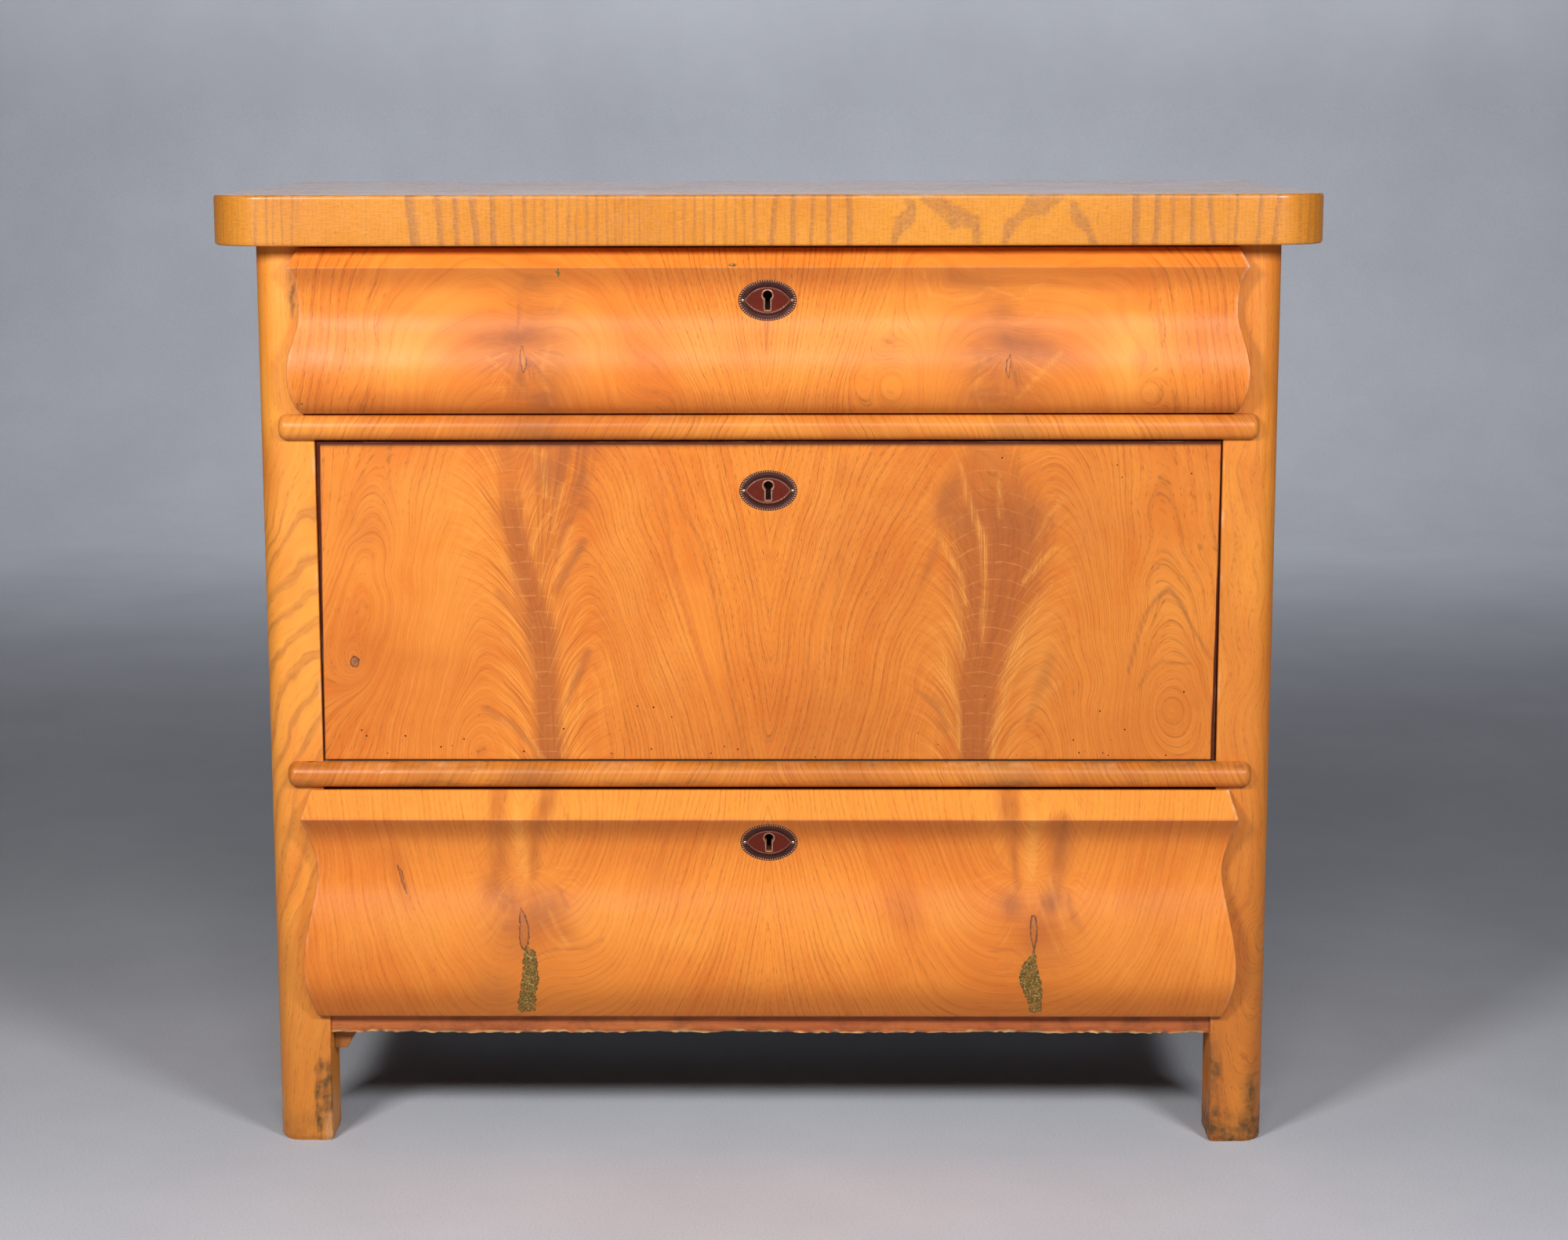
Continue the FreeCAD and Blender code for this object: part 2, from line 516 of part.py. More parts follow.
def drawer(name, pre, count, rear_count, ogee=None, ends=None, crest=None):
    low, high, key, face = pre + "_low", pre + "_high", pre + "_key", pre + "_face"
    core_low, core_high = pre + "_core_low", pre + "_core_high"
    side_in = "side_out - side_thick"
    floor_a, floor_b = "%s + floor_rise" % low, "%s + floor_rise + floor_thick" % low
    rear = "drawer_end - dback_thick"
    back_top = "%s - dback_drop" % high

    # sides, dovetailed to the front (half-blind) and to the back (through)
    sockets = {}
    for s, word in ((-1, "left"), (1, "right")):
        fore = tails(s, core_low, high, count, "core_back - tail_long", "front")
        aft = tails(s, floor_b, back_top, rear_count, rear, "rear")
        sockets[s] = (fore, aft)
        stuff = [sbox(s, side_in, "side_out", "core_back", rear, low, high)] + fore + aft
        stuff.append(sbox(s, side_in, "side_out", rear, "drawer_end", low, floor_b))
        stuff.append(sbox(s, side_in, "side_out", rear, "drawer_end", back_top, high))
        groove = sbox(s, side_in, "floor_half", "core_back - tail_long", "drawer_end", floor_a, floor_b)
        node(cut(fuse(stuff), [groove]), "%s_side_%s" % (name, word))

    back = box("-side_out", "side_out", rear, "drawer_end", floor_b, back_top)
    node(cut(back, [group(sockets[-1][1] + sockets[1][1])]), name + "_back")
    node(box("-floor_half", "floor_half", "core_back - groove_deep", "drawer_end", floor_a, floor_b), name + "_bottom")

    # lock: case let into the back of the front, bolt, screws
    shell = fuse([box("-case_half", "case_half", "case_near", "core_back - plate_thick", "%s - lock_under + 2" % key, core_high),
                  box("-lock_half", "lock_half", "core_back - plate_thick", "core_back", "%s - lock_under" % key, core_high),
                  box("-lock_half", "lock_half", "case_near", "core_back", "%s - plate_thick" % core_high, core_high)])
    screws = []
    for s in (-1, 1):
        for level in ("%s - lock_under + 5" % key, "%s - 8" % core_high):
            screws.append(fuse([cone("screw_head", "screw_rad", "screw_sink", sx(s, "screw_x"), "core_back", level, TOWARDS_FRONT),
                                cyl("screw_rad", "screw_long", sx(s, "screw_x"), "core_back", level, TOWARDS_FRONT)]))
    keyhole = fuse([cyl("key_rad", "case_near + plate_thick + 100", "0", "case_near + plate_thick", "%s + key_rise" % key, TOWARDS_FRONT),
                    box("-key_half", "key_half", "-100", "case_near + plate_thick", "%s - key_drop" % key, "%s + key_rise" % key)])
    well = fuse([box("-(bolt_half + bolt_gap)", "bolt_half + bolt_gap", "bolt_near - bolt_gap", "bolt_far + bolt_gap",
                     "%s + bolt_over - bolt_gap" % key, "%s + 5" % core_high),
                 box("-chamber_half", "chamber_half", "case_near + plate_thick", "bolt_far + bolt_gap",
                     "%s - chamber_under" % key, "%s + bolt_over - bolt_gap" % key)])
    node(cut(shell, [well, keyhole, group(screws)]), name + "_lock_case")
    node(group(screws), name + "_lock_screws")
    node(box("-bolt_half", "bolt_half", "bolt_near", "bolt_far", "%s + bolt_over" % key, "%s - bolt_sink" % core_high), name + "_lock_bolt")

    # escutcheon plate and its pins
    pins = []
    for s in (-1, 1):
        pins.append(fuse([cyl("pin_rad", "pin_long", sx(s, "pin_x"), "%s - esc_thick + pin_long" % face, key, TOWARDS_FRONT),
                          cyl("pin_head", "pin_cap", sx(s, "pin_x"), "%s - esc_thick" % face, key, TOWARDS_FRONT)]))
    if ogee:
        blank = common(shaped_plate(name, ogee), oval(key))
    else:
        blank = common(box("-lock_half", "lock_half", "%s - esc_gap - esc_thick" % face, "%s - esc_gap" % face,
                           "%s - lock_half" % key, "%s + lock_half" % key), oval(key))
    node(cut(blank, [keyhole, group(pins)]), name + "_escutcheon")
    node(group(pins), name + "_escutcheon_pins")

    # front: moulded facing and core in one, or a flat board
    if ogee:
        front = fuse([shaped_slab(name, ogee, ends, crest), box("-front_half", "front_half", "slab_back", "core_back", core_low, core_high)])
    else:
        front = box("-front_half", "front_half", "flat_front", "core_back", core_low, core_high)
    node(cut(front, [group(sockets[-1][0]), group(sockets[1][0]),
                     box("-floor_half", "floor_half", "core_back - groove_deep", "core_back", floor_a, floor_b),
                     shell, keyhole, group(screws), group(pins)]), name + "_front")


drawer("top_drawer", "td", 3, 2, TOP_OGEE, TOP_END, (-4, 427, 847))
drawer("middle_drawer", "md", 5, 4)
drawer("bottom_drawer", "bd", 4, 3, LOW_OGEE, LOW_END, (-4, 428.5, 343.5))

# ------------------------------------------------------------------ check and write
doc.recompute()
bad = [o.Name for o in doc.Objects if "Invalid" in o.State or "Error" in o.State]
if bad:
    raise RuntimeError("failed objects: %s" % bad)
for label, obj in NODES:
    shape = obj.Shape
    if shape.isNull() or not shape.isValid() or not shape.Solids:
        raise RuntimeError("bad shape: %s" % label)
os.makedirs("parts", exist_ok=True)
for label, obj in NODES:
    obj.Shape.exportStep(os.path.join("parts", label + ".step"))
print(len(NODES), "nodes")
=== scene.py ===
import math

import bmesh
import bpy
import numpy as np
from mathutils import Matrix, Vector


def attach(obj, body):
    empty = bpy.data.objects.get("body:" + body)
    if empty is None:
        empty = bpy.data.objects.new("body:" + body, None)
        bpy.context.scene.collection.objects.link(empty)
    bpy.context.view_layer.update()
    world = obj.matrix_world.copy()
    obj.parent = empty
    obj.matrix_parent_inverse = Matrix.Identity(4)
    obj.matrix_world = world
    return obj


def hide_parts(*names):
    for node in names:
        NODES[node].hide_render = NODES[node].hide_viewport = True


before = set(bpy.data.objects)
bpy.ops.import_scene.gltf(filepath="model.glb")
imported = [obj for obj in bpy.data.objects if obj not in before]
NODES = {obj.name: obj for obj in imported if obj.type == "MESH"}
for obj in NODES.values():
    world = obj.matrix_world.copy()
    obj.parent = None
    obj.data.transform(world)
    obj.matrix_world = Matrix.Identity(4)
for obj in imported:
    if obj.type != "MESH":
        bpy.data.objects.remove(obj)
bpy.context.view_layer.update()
SCENE = bpy.context.scene

# Lengths below are millimetres.  Depths called yf run from the front plane of
# the posts, negative towards the viewer; Y0 puts them in the row frame.
Y0 = -234.0


# ------------------------------------------------------------------ numbers
def hashed(i, j, k, seed):
    h = (i * 73856093) ^ (j * 19349663) ^ (k * 83492791) ^ (seed * 40503 + 977)
    h &= 0xFFFFFFFF
    h = ((h ^ (h >> 13)) * 1274126177) & 0xFFFFFFFF
    h = ((h ^ (h >> 16)) * 668265263) & 0xFFFFFFFF
    return ((h ^ (h >> 15)) & 0xFFFFFF) / float(0xFFFFFF)


def noise(x, y, z, seed=0):
    """Smooth value noise from -1 to 1."""
    x, y, z = np.broadcast_arrays(np.asarray(x, float), np.asarray(y, float), np.asarray(z, float))
    i, j, k = np.floor(x).astype(np.int64), np.floor(y).astype(np.int64), np.floor(z).astype(np.int64)
    f, g, h = x - i, y - j, z - k
    f, g, h = f * f * (3 - 2 * f), g * g * (3 - 2 * g), h * h * (3 - 2 * h)
    out = 0.0
    for a in (0, 1):
        for b in (0, 1):
            for c in (0, 1):
                w = (f if a else 1 - f) * (g if b else 1 - g) * (h if c else 1 - h)
                out = out + w * hashed(i + a, j + b, k + c, seed)
    return out * 2 - 1


def fbm(x, y, z, seed=0, octaves=3):
    x, y, z = np.asarray(x, float), np.asarray(y, float), np.asarray(z, float)
    out, gain = 0.0, 0.5
    for n in range(octaves):
        out = out + gain * noise(x * 2 ** n, y * 2 ** n, z * 2 ** n, seed + n)
        gain *= 0.5
    return out


def smooth(a, b, v):
    t = np.clip((v - a) / (b - a), 0, 1)
    return t * t * (3 - 2 * t)


def natural(xs, ys):
    """Natural cubic spline through points with rising xs."""
    xs, ys = np.asarray(xs, float), np.asarray(ys, float)
    n, h = len(xs), np.diff(xs)
    A, r = np.eye(n), np.zeros(n)
    for i in range(1, n - 1):
        A[i, i - 1], A[i, i], A[i, i + 1] = h[i - 1], 2 * (h[i - 1] + h[i]), h[i]
        r[i] = 6 * ((ys[i + 1] - ys[i]) / h[i] - (ys[i] - ys[i - 1]) / h[i - 1])
    m = np.linalg.solve(A, r)

    def f(x):
        x = np.asarray(x, float)
        i = np.clip(np.searchsorted(xs, x) - 1, 0, n - 2)
        a, b = (xs[i + 1] - x) / h[i], (x - xs[i]) / h[i]
        return a * ys[i] + b * ys[i + 1] + ((a ** 3 - a) * m[i] + (b ** 3 - b) * m[i + 1]) * h[i] ** 2 / 6

    return f


def plate_field(guides, x, z, stiff=3.0):
    """Thin-plate surface through the guide lines: its level lines are the grain."""
    pts = np.array([p for _, line in guides for p in line], float)
    val = np.array([v for v, line in guides for p in line], float)
    scale = 100.0
    pts = pts / scale

    def kernel(d2):
        return np.where(d2 > 1e-12, 0.5 * d2 * np.log(np.maximum(d2, 1e-12)), 0.0)

    n = len(pts)
    d2 = ((pts[:, None] - pts[None]) ** 2).sum(-1)
    K = kernel(d2) + np.eye(n) * stiff * 1e-3
    P = np.hstack([np.ones((n, 1)), pts])
    A = np.zeros((n + 3, n + 3))
    A[:n, :n], A[:n, n:], A[n:, :n] = K, P, P.T
    w = np.linalg.solve(A, np.concatenate([val, np.zeros(3)]))
    q = np.stack([np.ravel(x), np.ravel(z)], -1) / scale
    out = np.empty(len(q))
    for s in range(0, len(q), 20000):
        c = q[s:s + 20000]
        d2 = ((c[:, None] - pts[None]) ** 2).sum(-1)
        out[s:s + 20000] = kernel(d2) @ w[:n] + w[n] + c @ w[n + 1:]
    return out.reshape(np.shape(x))


def blob(x, z, cx, cz, rx, rz, turn=0.0):
    c, s = math.cos(turn), math.sin(turn)
    dx, dz = x - cx, z - cz
    return np.exp(-((dx * c + dz * s) / rx) ** 2 - ((dz * c - dx * s) / rz) ** 2)


def spine(x, z, pts):
    """Distance to a line over its local half width: 0 on the line, 1 at its edge."""
    best = np.full(np.shape(x), 1e9)
    for (ax, az, aw), (bx, bz, bw) in zip(pts[:-1], pts[1:]):
        ex, ez = bx - ax, bz - az
        t = np.clip(((x - ax) * ex + (z - az) * ez) / (ex * ex + ez * ez), 0, 1)
        d = np.hypot(x - ax - t * ex, z - az - t * ez) / (aw + (bw - aw) * t)
        best = np.minimum(best, d)
    return best


# ------------------------------------------------------------------ meshes
def make(name, verts, faces, body, attrs=None, material=None, sharp=35.0, merge=0.0, replaces=()):
    """A mesh piece from points in millimetres, riding on a body."""
    mesh = bpy.data.meshes.new(name)
    mesh.from_pydata((np.asarray(verts, float) * 0.001).tolist(), [], [tuple(f) for f in faces])
    for key, val in (attrs or {}).items():
        a = mesh.attributes.new(key, "FLOAT", "POINT")
        a.data.foreach_set("value", np.asarray(val, np.float32).ravel())
    if merge:
        bm = bmesh.new()
        bm.from_mesh(mesh)
        bmesh.ops.remove_doubles(bm, verts=bm.verts, dist=merge * 0.001)
        bmesh.ops.dissolve_degenerate(bm, edges=bm.edges, dist=1e-7)
        bmesh.ops.recalc_face_normals(bm, faces=bm.faces)
        bm.to_mesh(mesh)
        bm.free()
    mesh.validate()
    mesh.shade_smooth()
    if sharp is not None:
        mesh.set_sharp_from_angle(angle=math.radians(sharp))
    obj = bpy.data.objects.new(name, mesh)
    SCENE.collection.objects.link(obj)
    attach(obj, body)
    if material:
        mesh.materials.append(material)
    if replaces:
        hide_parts(*replaces)
    return obj


def shell(front, back, skip=None):
    """Closed skin between two grids of points of the same size, with walls
    along every open edge; skip leaves cells out."""
    R, C = front.shape[:2]
    keep = np.ones((R - 1, C - 1), bool) if skip is None else ~skip
    base = R * C
    verts = np.concatenate([front.reshape(-1, 3), back.reshape(-1, 3)])
    ii, jj = np.nonzero(keep)
    a, b, c, d = ii * C + jj, (ii + 1) * C + jj, (ii + 1) * C + jj + 1, ii * C + jj + 1
    faces = np.stack([a, b, c, d], -1)
    faces = np.concatenate([faces, np.stack([d, c, b, a], -1) + base])
    edges = {}
    for q in zip(a.tolist(), b.tolist(), c.tolist(), d.tolist()):
        for u, v in ((q[0], q[1]), (q[1], q[2]), (q[2], q[3]), (q[3], q[0])):
            if (v, u) in edges:
                del edges[(v, u)]
            else:
                edges[(u, v)] = 1
    walls = [(v, u, u + base, v + base) for u, v in edges]
    return verts, faces.tolist() + walls


def loft(loops, cap=True):
    """Closed skin through loops of points of equal count."""
    loops = np.asarray(loops, float)
    R, C = loops.shape[:2]
    faces = []
    for i in range(R - 1):
        for j in range(C):
            k = (j + 1) % C
            faces.append((i * C + j, i * C + k, (i + 1) * C + k, (i + 1) * C + j))
    if cap:
        faces.append(tuple(range(C))[::-1])
        faces.append(tuple((R - 1) * C + j for j in range(C)))
    return loops.reshape(-1, 3), faces


def ramp_steps(stops, n):
    """Evenly spaced samples of a piecewise line given as (t, value)."""
    t = np.linspace(stops[0][0], stops[-1][0], n)
    return np.interp(t, [s[0] for s in stops], [s[1] for s in stops])


# ------------------------------------------------------------------ materials
class Graph:
    """Short words for building a node material."""

    def __init__(self, name):
        self.mat = bpy.data.materials.new(name)
        self.mat.use_nodes = True
        self.tree = self.mat.node_tree
        self.tree.nodes.clear()
        self.out = self.tree.nodes.new("ShaderNodeOutputMaterial")
        self.bsdf = self.tree.nodes.new("ShaderNodeBsdfPrincipled")
        self.tree.links.new(self.bsdf.outputs[0], self.out.inputs[0])

    def add(self, kind, **props):
        n = self.tree.nodes.new("ShaderNode" + kind)
        for k, v in props.items():
            setattr(n, k, v)
        return n

    def put(self, socket, value):
        if isinstance(value, bpy.types.NodeSocket):
            self.tree.links.new(value, socket)
        elif isinstance(value, (tuple, list)) and socket.type == "RGBA" and len(value) == 3:
            socket.default_value = (*value, 1.0)
        else:
            socket.default_value = value

    def set(self, **values):
        for key, value in values.items():
            self.put(self.bsdf.inputs[key.replace("_", " ")], value)

    def math(self, op, a, b=None, clamp=False):
        n = self.add("Math", operation=op, use_clamp=clamp)
        self.put(n.inputs[0], a)
        if b is not None:
            self.put(n.inputs[1], b)
        return n.outputs[0]

    def mul(self, *terms):
        out = terms[0]
        for t in terms[1:]:
            out = self.math("MULTIPLY", out, t)
        return out

    def plus(self, *terms):
        out = terms[0]
        for t in terms[1:]:
            out = self.math("ADD", out, t)
        return out

    def attr(self, name):
        return self.add("Attribute", attribute_name=name).outputs["Fac"]

    def vec(self, x, y, z):
        n = self.add("CombineXYZ")
        for s, v in zip(n.inputs, (x, y, z)):
            self.put(s, v)
        return n.outputs[0]

    def split(self, v):
        n = self.add("SeparateXYZ")
        self.put(n.inputs[0], v)
        return n.outputs

    def place(self):
        return self.add("TexCoord").outputs["Object"]

    def noise(self, vector, scale=1.0, detail=2.0, rough=0.5, distort=0.0):
        n = self.add("TexNoise")
        self.put(n.inputs["Vector"], vector)
        self.put(n.inputs["Scale"], scale)
        self.put(n.inputs["Detail"], detail)
        self.put(n.inputs["Roughness"], rough)
        self.put(n.inputs["Distortion"], distort)
        return n.outputs[0]

    def cells(self, vector, scale, feature="F1"):
        n = self.add("TexVoronoi", feature=feature)
        self.put(n.inputs["Vector"], vector)
        self.put(n.inputs["Scale"], scale)
        return n.outputs["Distance"]

    def chance(self, w):
        n = self.add("TexWhiteNoise", noise_dimensions="1D")
        self.put(n.inputs["W"], w)
        return n.outputs["Value"]

    def span(self, v, a, b, c=0.0, d=1.0, soft=False):
        n = self.add("MapRange", clamp=True, interpolation_type="SMOOTHSTEP" if soft else "LINEAR")
        for s, x in zip(n.inputs[:5], (v, a, b, c, d)):
            self.put(s, x)
        return n.outputs[0]

    def ramp(self, fac, stops, interp="LINEAR"):
        n = self.add("ValToRGB")
        n.color_ramp.interpolation = interp
        e = n.color_ramp.elements
        while len(e) < len(stops):
            e.new(0.5)
        for el, (pos, col) in zip(e, stops):
            el.position = pos
            el.color = (col, col, col, 1) if isinstance(col, (int, float)) else (*col, 1)
        self.put(n.inputs[0], fac)
        return n.outputs[0]

    def mix(self, fac, a, b, blend="MIX"):
        n = self.add("Mix", data_type="RGBA", blend_type=blend)
        self.put(n.inputs[0], fac)
        self.put(n.inputs[6], a)
        self.put(n.inputs[7], b)
        return n.outputs[2]

    def shade(self, color, f):
        n = self.add("VectorMath", operation="SCALE")
        self.put(n.inputs[0], color)
        self.put(n.inputs["Scale"], f)
        return n.outputs[0]

    def bump(self, height, strength=0.2, distance=0.001):
        n = self.add("Bump")
        self.put(n.inputs["Strength"], strength)
        self.put(n.inputs["Distance"], distance)
        self.put(n.inputs["Height"], height)
        self.put(self.bsdf.inputs["Normal"], n.outputs[0])


GOLD, AMBER, RUST = (0.860, 0.272, 0.033), (0.745, 0.188, 0.019), (0.520, 0.118, 0.016)
LINE, PLUME, GLOW, WORN = (0.340, 0.086, 0.013), (0.400, 0.100, 0.022), (0.950, 0.400, 0.068), (0.930, 0.720, 0.470)


def figured(name, gold=GOLD, amber=AMBER, line=LINE, gain=0.95, coat=0.03, rough=0.42, band=1.0, dirt=(0.085, 0.050, 0.020)):
    """Polished ash whose growth lines follow the piece's own grain field."""
    g = Graph(name)
    phi, psi = g.attr("phi"), g.attr("psi")
    place = g.place()
    sway = g.noise(g.vec(g.mul(phi, 0.8), g.mul(psi, 0.010), 2.7), 1.0, 2.0)
    p = g.plus(phi, g.mul(g.plus(sway, -0.5), 0.55 * band))
    part, ring = g.math("FRACT", p), g.math("FLOOR", p)
    luck = g.chance(ring)
    edge = g.ramp(part, [(0.0, 1.0), (0.06, 0.85), (0.14, 0.36), (0.34, 0.10), (0.86, 0.0), (0.965, 0.26), (1.0, 1.0)])
    half = g.plus(g.mul(p, 2.0), 0.63)
    luck2 = g.chance(g.plus(g.math("FLOOR", half), 31.5))
    edge2 = g.ramp(g.math("FRACT", half), [(0.0, 1.0), (0.12, 0.7), (0.26, 0.14), (0.5, 0.0), (0.92, 0.0), (1.0, 1.0)])
    broken = g.span(g.noise(g.vec(g.mul(p, 2.3), g.mul(psi, 0.026), 5.1), 1.0, 2.0), 0.36, 0.62, 0.25, 1.0)
    lines = g.mul(g.math("ADD", g.mul(edge, g.span(luck, 0.0, 1.0, 0.30, 1.0)), g.mul(edge2, g.span(luck2, 0.3, 1.0, 0.0, 0.60)), True), broken, g.attr("lines"))
    dash = g.span(g.noise(g.vec(g.mul(p, 9.0), g.mul(psi, 0.16), 9.3), 1.0, 1.0), 0.56, 0.66)
    pores = g.mul(dash, g.span(g.math("ADD", edge, g.mul(edge2, 0.5), True), 0.02, 0.45, 0.20, 1.0), g.attr("lines"))
    fibre = g.noise(g.vec(g.mul(p, 11.0), g.mul(psi, 0.05), 1.7), 1.0, 3.0, 0.6)
    streak = g.noise(g.vec(g.mul(phi, 1.3), g.mul(psi, 0.007), 12.4), 1.0, 3.0, 0.6)
    broad = g.noise(place, 6.5, 3.0, 0.55)
    mottle = g.noise(place, 46.0, 3.0, 0.6)

    tone = g.plus(g.mul(broad, 1.0), g.mul(streak, 0.8), -0.42, g.mul(mottle, 0.14))
    col = g.mix(g.span(tone, 0.32, 0.68, 0.0, 1.0), amber, gold)
    # glow lightens towards GLOW: on the ogee fronts' bevels and bellies it is painted light, elsewhere the wood's own
    # lighter colour
    col = g.mix(g.math("MULTIPLY", g.attr("glow"), 0.85, True), col, GLOW)
    col = g.mix(g.math("MULTIPLY", g.attr("rust"), 0.95, True), col, RUST)
    # plume heart, with fine veins that run up it and spread with it
    core, ray = g.attr("core"), g.attr("ray")
    spot = g.split(place)
    brushed = g.span(g.noise(g.vec(g.mul(ray, 0.62), g.mul(spot[2], 7.0), 2.0), 1.0, 3.0, 0.6), 0.40, 0.58, 0.06, 1.0)
    vein = g.noise(g.vec(g.mul(ray, 1.1), g.mul(spot[2], 9.0), 4.0), 1.0, 4.0, 0.62)
    col = g.mix(g.mul(core, g.span(vein, 0.30, 0.62, 1.0, 0.66), g.plus(1.0, g.mul(g.attr("brush"), g.plus(brushed, -1.0)))), col, PLUME)
    hairs = g.noise(g.vec(g.mul(ray, 2.6), g.mul(spot[2], 14.0), 8.0), 1.0, 3.0, 0.65)
    col = g.mix(g.mul(g.attr("light"), g.span(hairs, 0.44, 0.60, 0.05, 1.0)), col, (0.980, 0.455, 0.092))
    # quills beside the heart: light and dark streaks that rise and fan out
    quill, vane, barb = g.attr("quill"), g.attr("vane"), g.attr("barb")
    fan = g.noise(g.vec(g.mul(quill, 0.190), g.mul(vane, 0.024), 7.7), 1.0, 2.0, 0.60)
    fine = g.noise(g.vec(g.mul(quill, 0.62), g.mul(vane, 0.030), 3.1), 1.0, 2.0, 0.6)
    both = g.plus(g.mul(fan, 0.46), g.mul(fine, 0.54))
    col = g.mix(g.mul(barb, g.span(both, 0.480, 0.375, 0.0, 0.85)), col, (0.450, 0.108, 0.017))
    col = g.mix(g.mul(barb, g.span(both, 0.525, 0.63, 0.0, 0.68), g.span(g.attr("dark"), 0.0, 0.4, 1.0, 0.35)), col, (0.970, 0.430, 0.080))
    # faint light cross cracks over heart and quills
    beat = g.math("FRACT", g.plus(g.attr("step"), g.mul(g.noise(place, 70.0, 2.0), 0.16)))
    crack = g.ramp(beat, [(0.0, 1.0), (0.035, 0.85), (0.075, 0.0), (0.965, 0.0), (1.0, 1.0)])
    thin = g.span(g.noise(place, 160.0, 2.0), 0.36, 0.60)
    col = g.mix(g.mul(g.math("ADD", core, g.mul(barb, 0.25), True), crack, thin, 0.38), col, (0.90, 0.390, 0.100))
    smoke = g.attr("dark")
    col = g.mix(g.mul(smoke, g.span(mottle, 0.25, 0.75, 0.62, 0.95)), col, (0.300, 0.088, 0.030))
    col = g.mix(g.mul(lines, gain), col, line)
    col = g.mix(g.mul(pores, 0.50), col, (0.22, 0.056, 0.010))
    # tone darkens the colour: on the fronts it is painted shade in the coves, on the lower turns, in the gaps and under
    # the upper bead, and on the beads' undersides; near full tone the pit mix paints a dark warm gap shade and roughens
    # it
    col = g.shade(col, g.mul(g.span(fibre, 0.25, 0.75, 0.92, 1.06), g.span(g.attr("tone"), 0.0, 1.0, 1.0, 0.0)))
    pit = g.span(g.attr("tone"), 0.50, 0.95)
    col = g.mix(pit, col, (0.072, 0.0085, 0.0008))
    wear = g.attr("wear")
    rub = g.mul(wear, g.span(g.noise(place, 70.0, 4.0, 0.7), 0.36, 0.62))
    col = g.mix(g.mul(rub, 0.85), col, WORN)
    grime = g.mul(g.attr("grime"), g.span(g.noise(place, 110.0, 4.0, 0.65), 0.30, 0.62, 0.30, 1.0))
    col = g.mix(grime, col, g.mix(g.span(g.noise(place, 230.0, 3.0, 0.6), 0.35, 0.65), dirt, tuple(2.1 * v for v in dirt)))
    g.set(Base_Color=col, Roughness=g.plus(g.span(mottle, 0.3, 0.7, rough - 0.05, rough + 0.07), g.mul(rub, 0.10), g.mul(grime, 0.2), g.mul(pit, 0.50)),
          Specular_IOR_Level=0.32, Coat_Weight=coat, Coat_Roughness=0.24)
    relief = g.plus(g.mul(fibre, 0.25), g.mul(lines, -0.35), g.mul(pores, -0.9), g.mul(grime, -0.6), g.mul(mottle, 0.15))
    g.bump(relief, 0.16, 0.0005)
    return g.mat


def board(name, along, pale, deep, line, pitch=0.007, tilt=0.35, contrast=0.6, rough=0.55, coat=0.0, age=0.35, knots=0.0, underside_shade=False, sway=7.0):
    """Sawn or planed timber: rings cut lengthwise, in the row frame."""
    g = Graph(name)
    place = g.place()
    s = g.split(place)
    u = s[along]
    v, w = [s[k] for k in range(3) if k != along]
    swing = g.noise(g.vec(g.mul(u, 1.7), g.mul(v, 7.0), g.mul(w, 7.0)), 1.0, 2.0)
    across = g.plus(g.mul(v, math.cos(tilt) / pitch), g.mul(w, math.sin(tilt) / pitch), g.mul(g.plus(swing, -0.5), sway))
    part = g.math("FRACT", across)
    luck = g.chance(g.math("FLOOR", across))
    edge = g.ramp(part, [(0.0, 0.9), (0.10, 0.55), (0.35, 0.14), (0.7, 0.0), (0.93, 0.45), (1.0, 0.9)])
    fibre = g.noise(g.vec(g.mul(u, 20.0), g.mul(v, 900.0), g.mul(w, 900.0)), 1.0, 3.0, 0.65)
    broad = g.noise(g.vec(g.mul(u, 3.0), g.mul(v, 9.0), g.mul(w, 9.0)), 1.0, 3.0)
    dirt = g.noise(place, 13.0, 5.0, 0.65)
    col = g.mix(g.span(broad, 0.3, 0.7), pale, deep)
    col = g.mix(g.mul(edge, g.span(luck, 0.0, 1.0, 0.25, 1.0), contrast), col, line)
    if knots:
        spot = g.cells(g.vec(g.mul(u, 3.0), g.mul(v, 8.0), g.mul(w, 8.0)), 1.0)
        col = g.mix(g.span(spot, 0.05 + 0.05 * knots, 0.02, 0.0, 0.85), col, (0.10, 0.035, 0.012))
    col = g.shade(col, g.span(fibre, 0.25, 0.75, 0.86, 1.12))
    col = g.mix(g.span(dirt, 0.48, 0.78, 0.0, age), col, tuple(c * 0.35 for c in deep))
    if underside_shade:
        # the underside of the chest painted near black as shade, so that it throws little light down under the chest
        col = g.mix(g.span(s[2], 0.1398, 0.1365, 0.0, 0.94), col, tuple(c * 0.05 for c in deep))
    g.set(Base_Color=col, Roughness=g.span(dirt, 0.3, 0.7, rough - 0.06, rough + 0.10), Specular_IOR_Level=0.35,
          Coat_Weight=coat, Coat_Roughness=0.25)
    g.bump(g.plus(g.mul(fibre, 0.8), g.mul(edge, -0.3)), 0.25, 0.0006)
    return g.mat


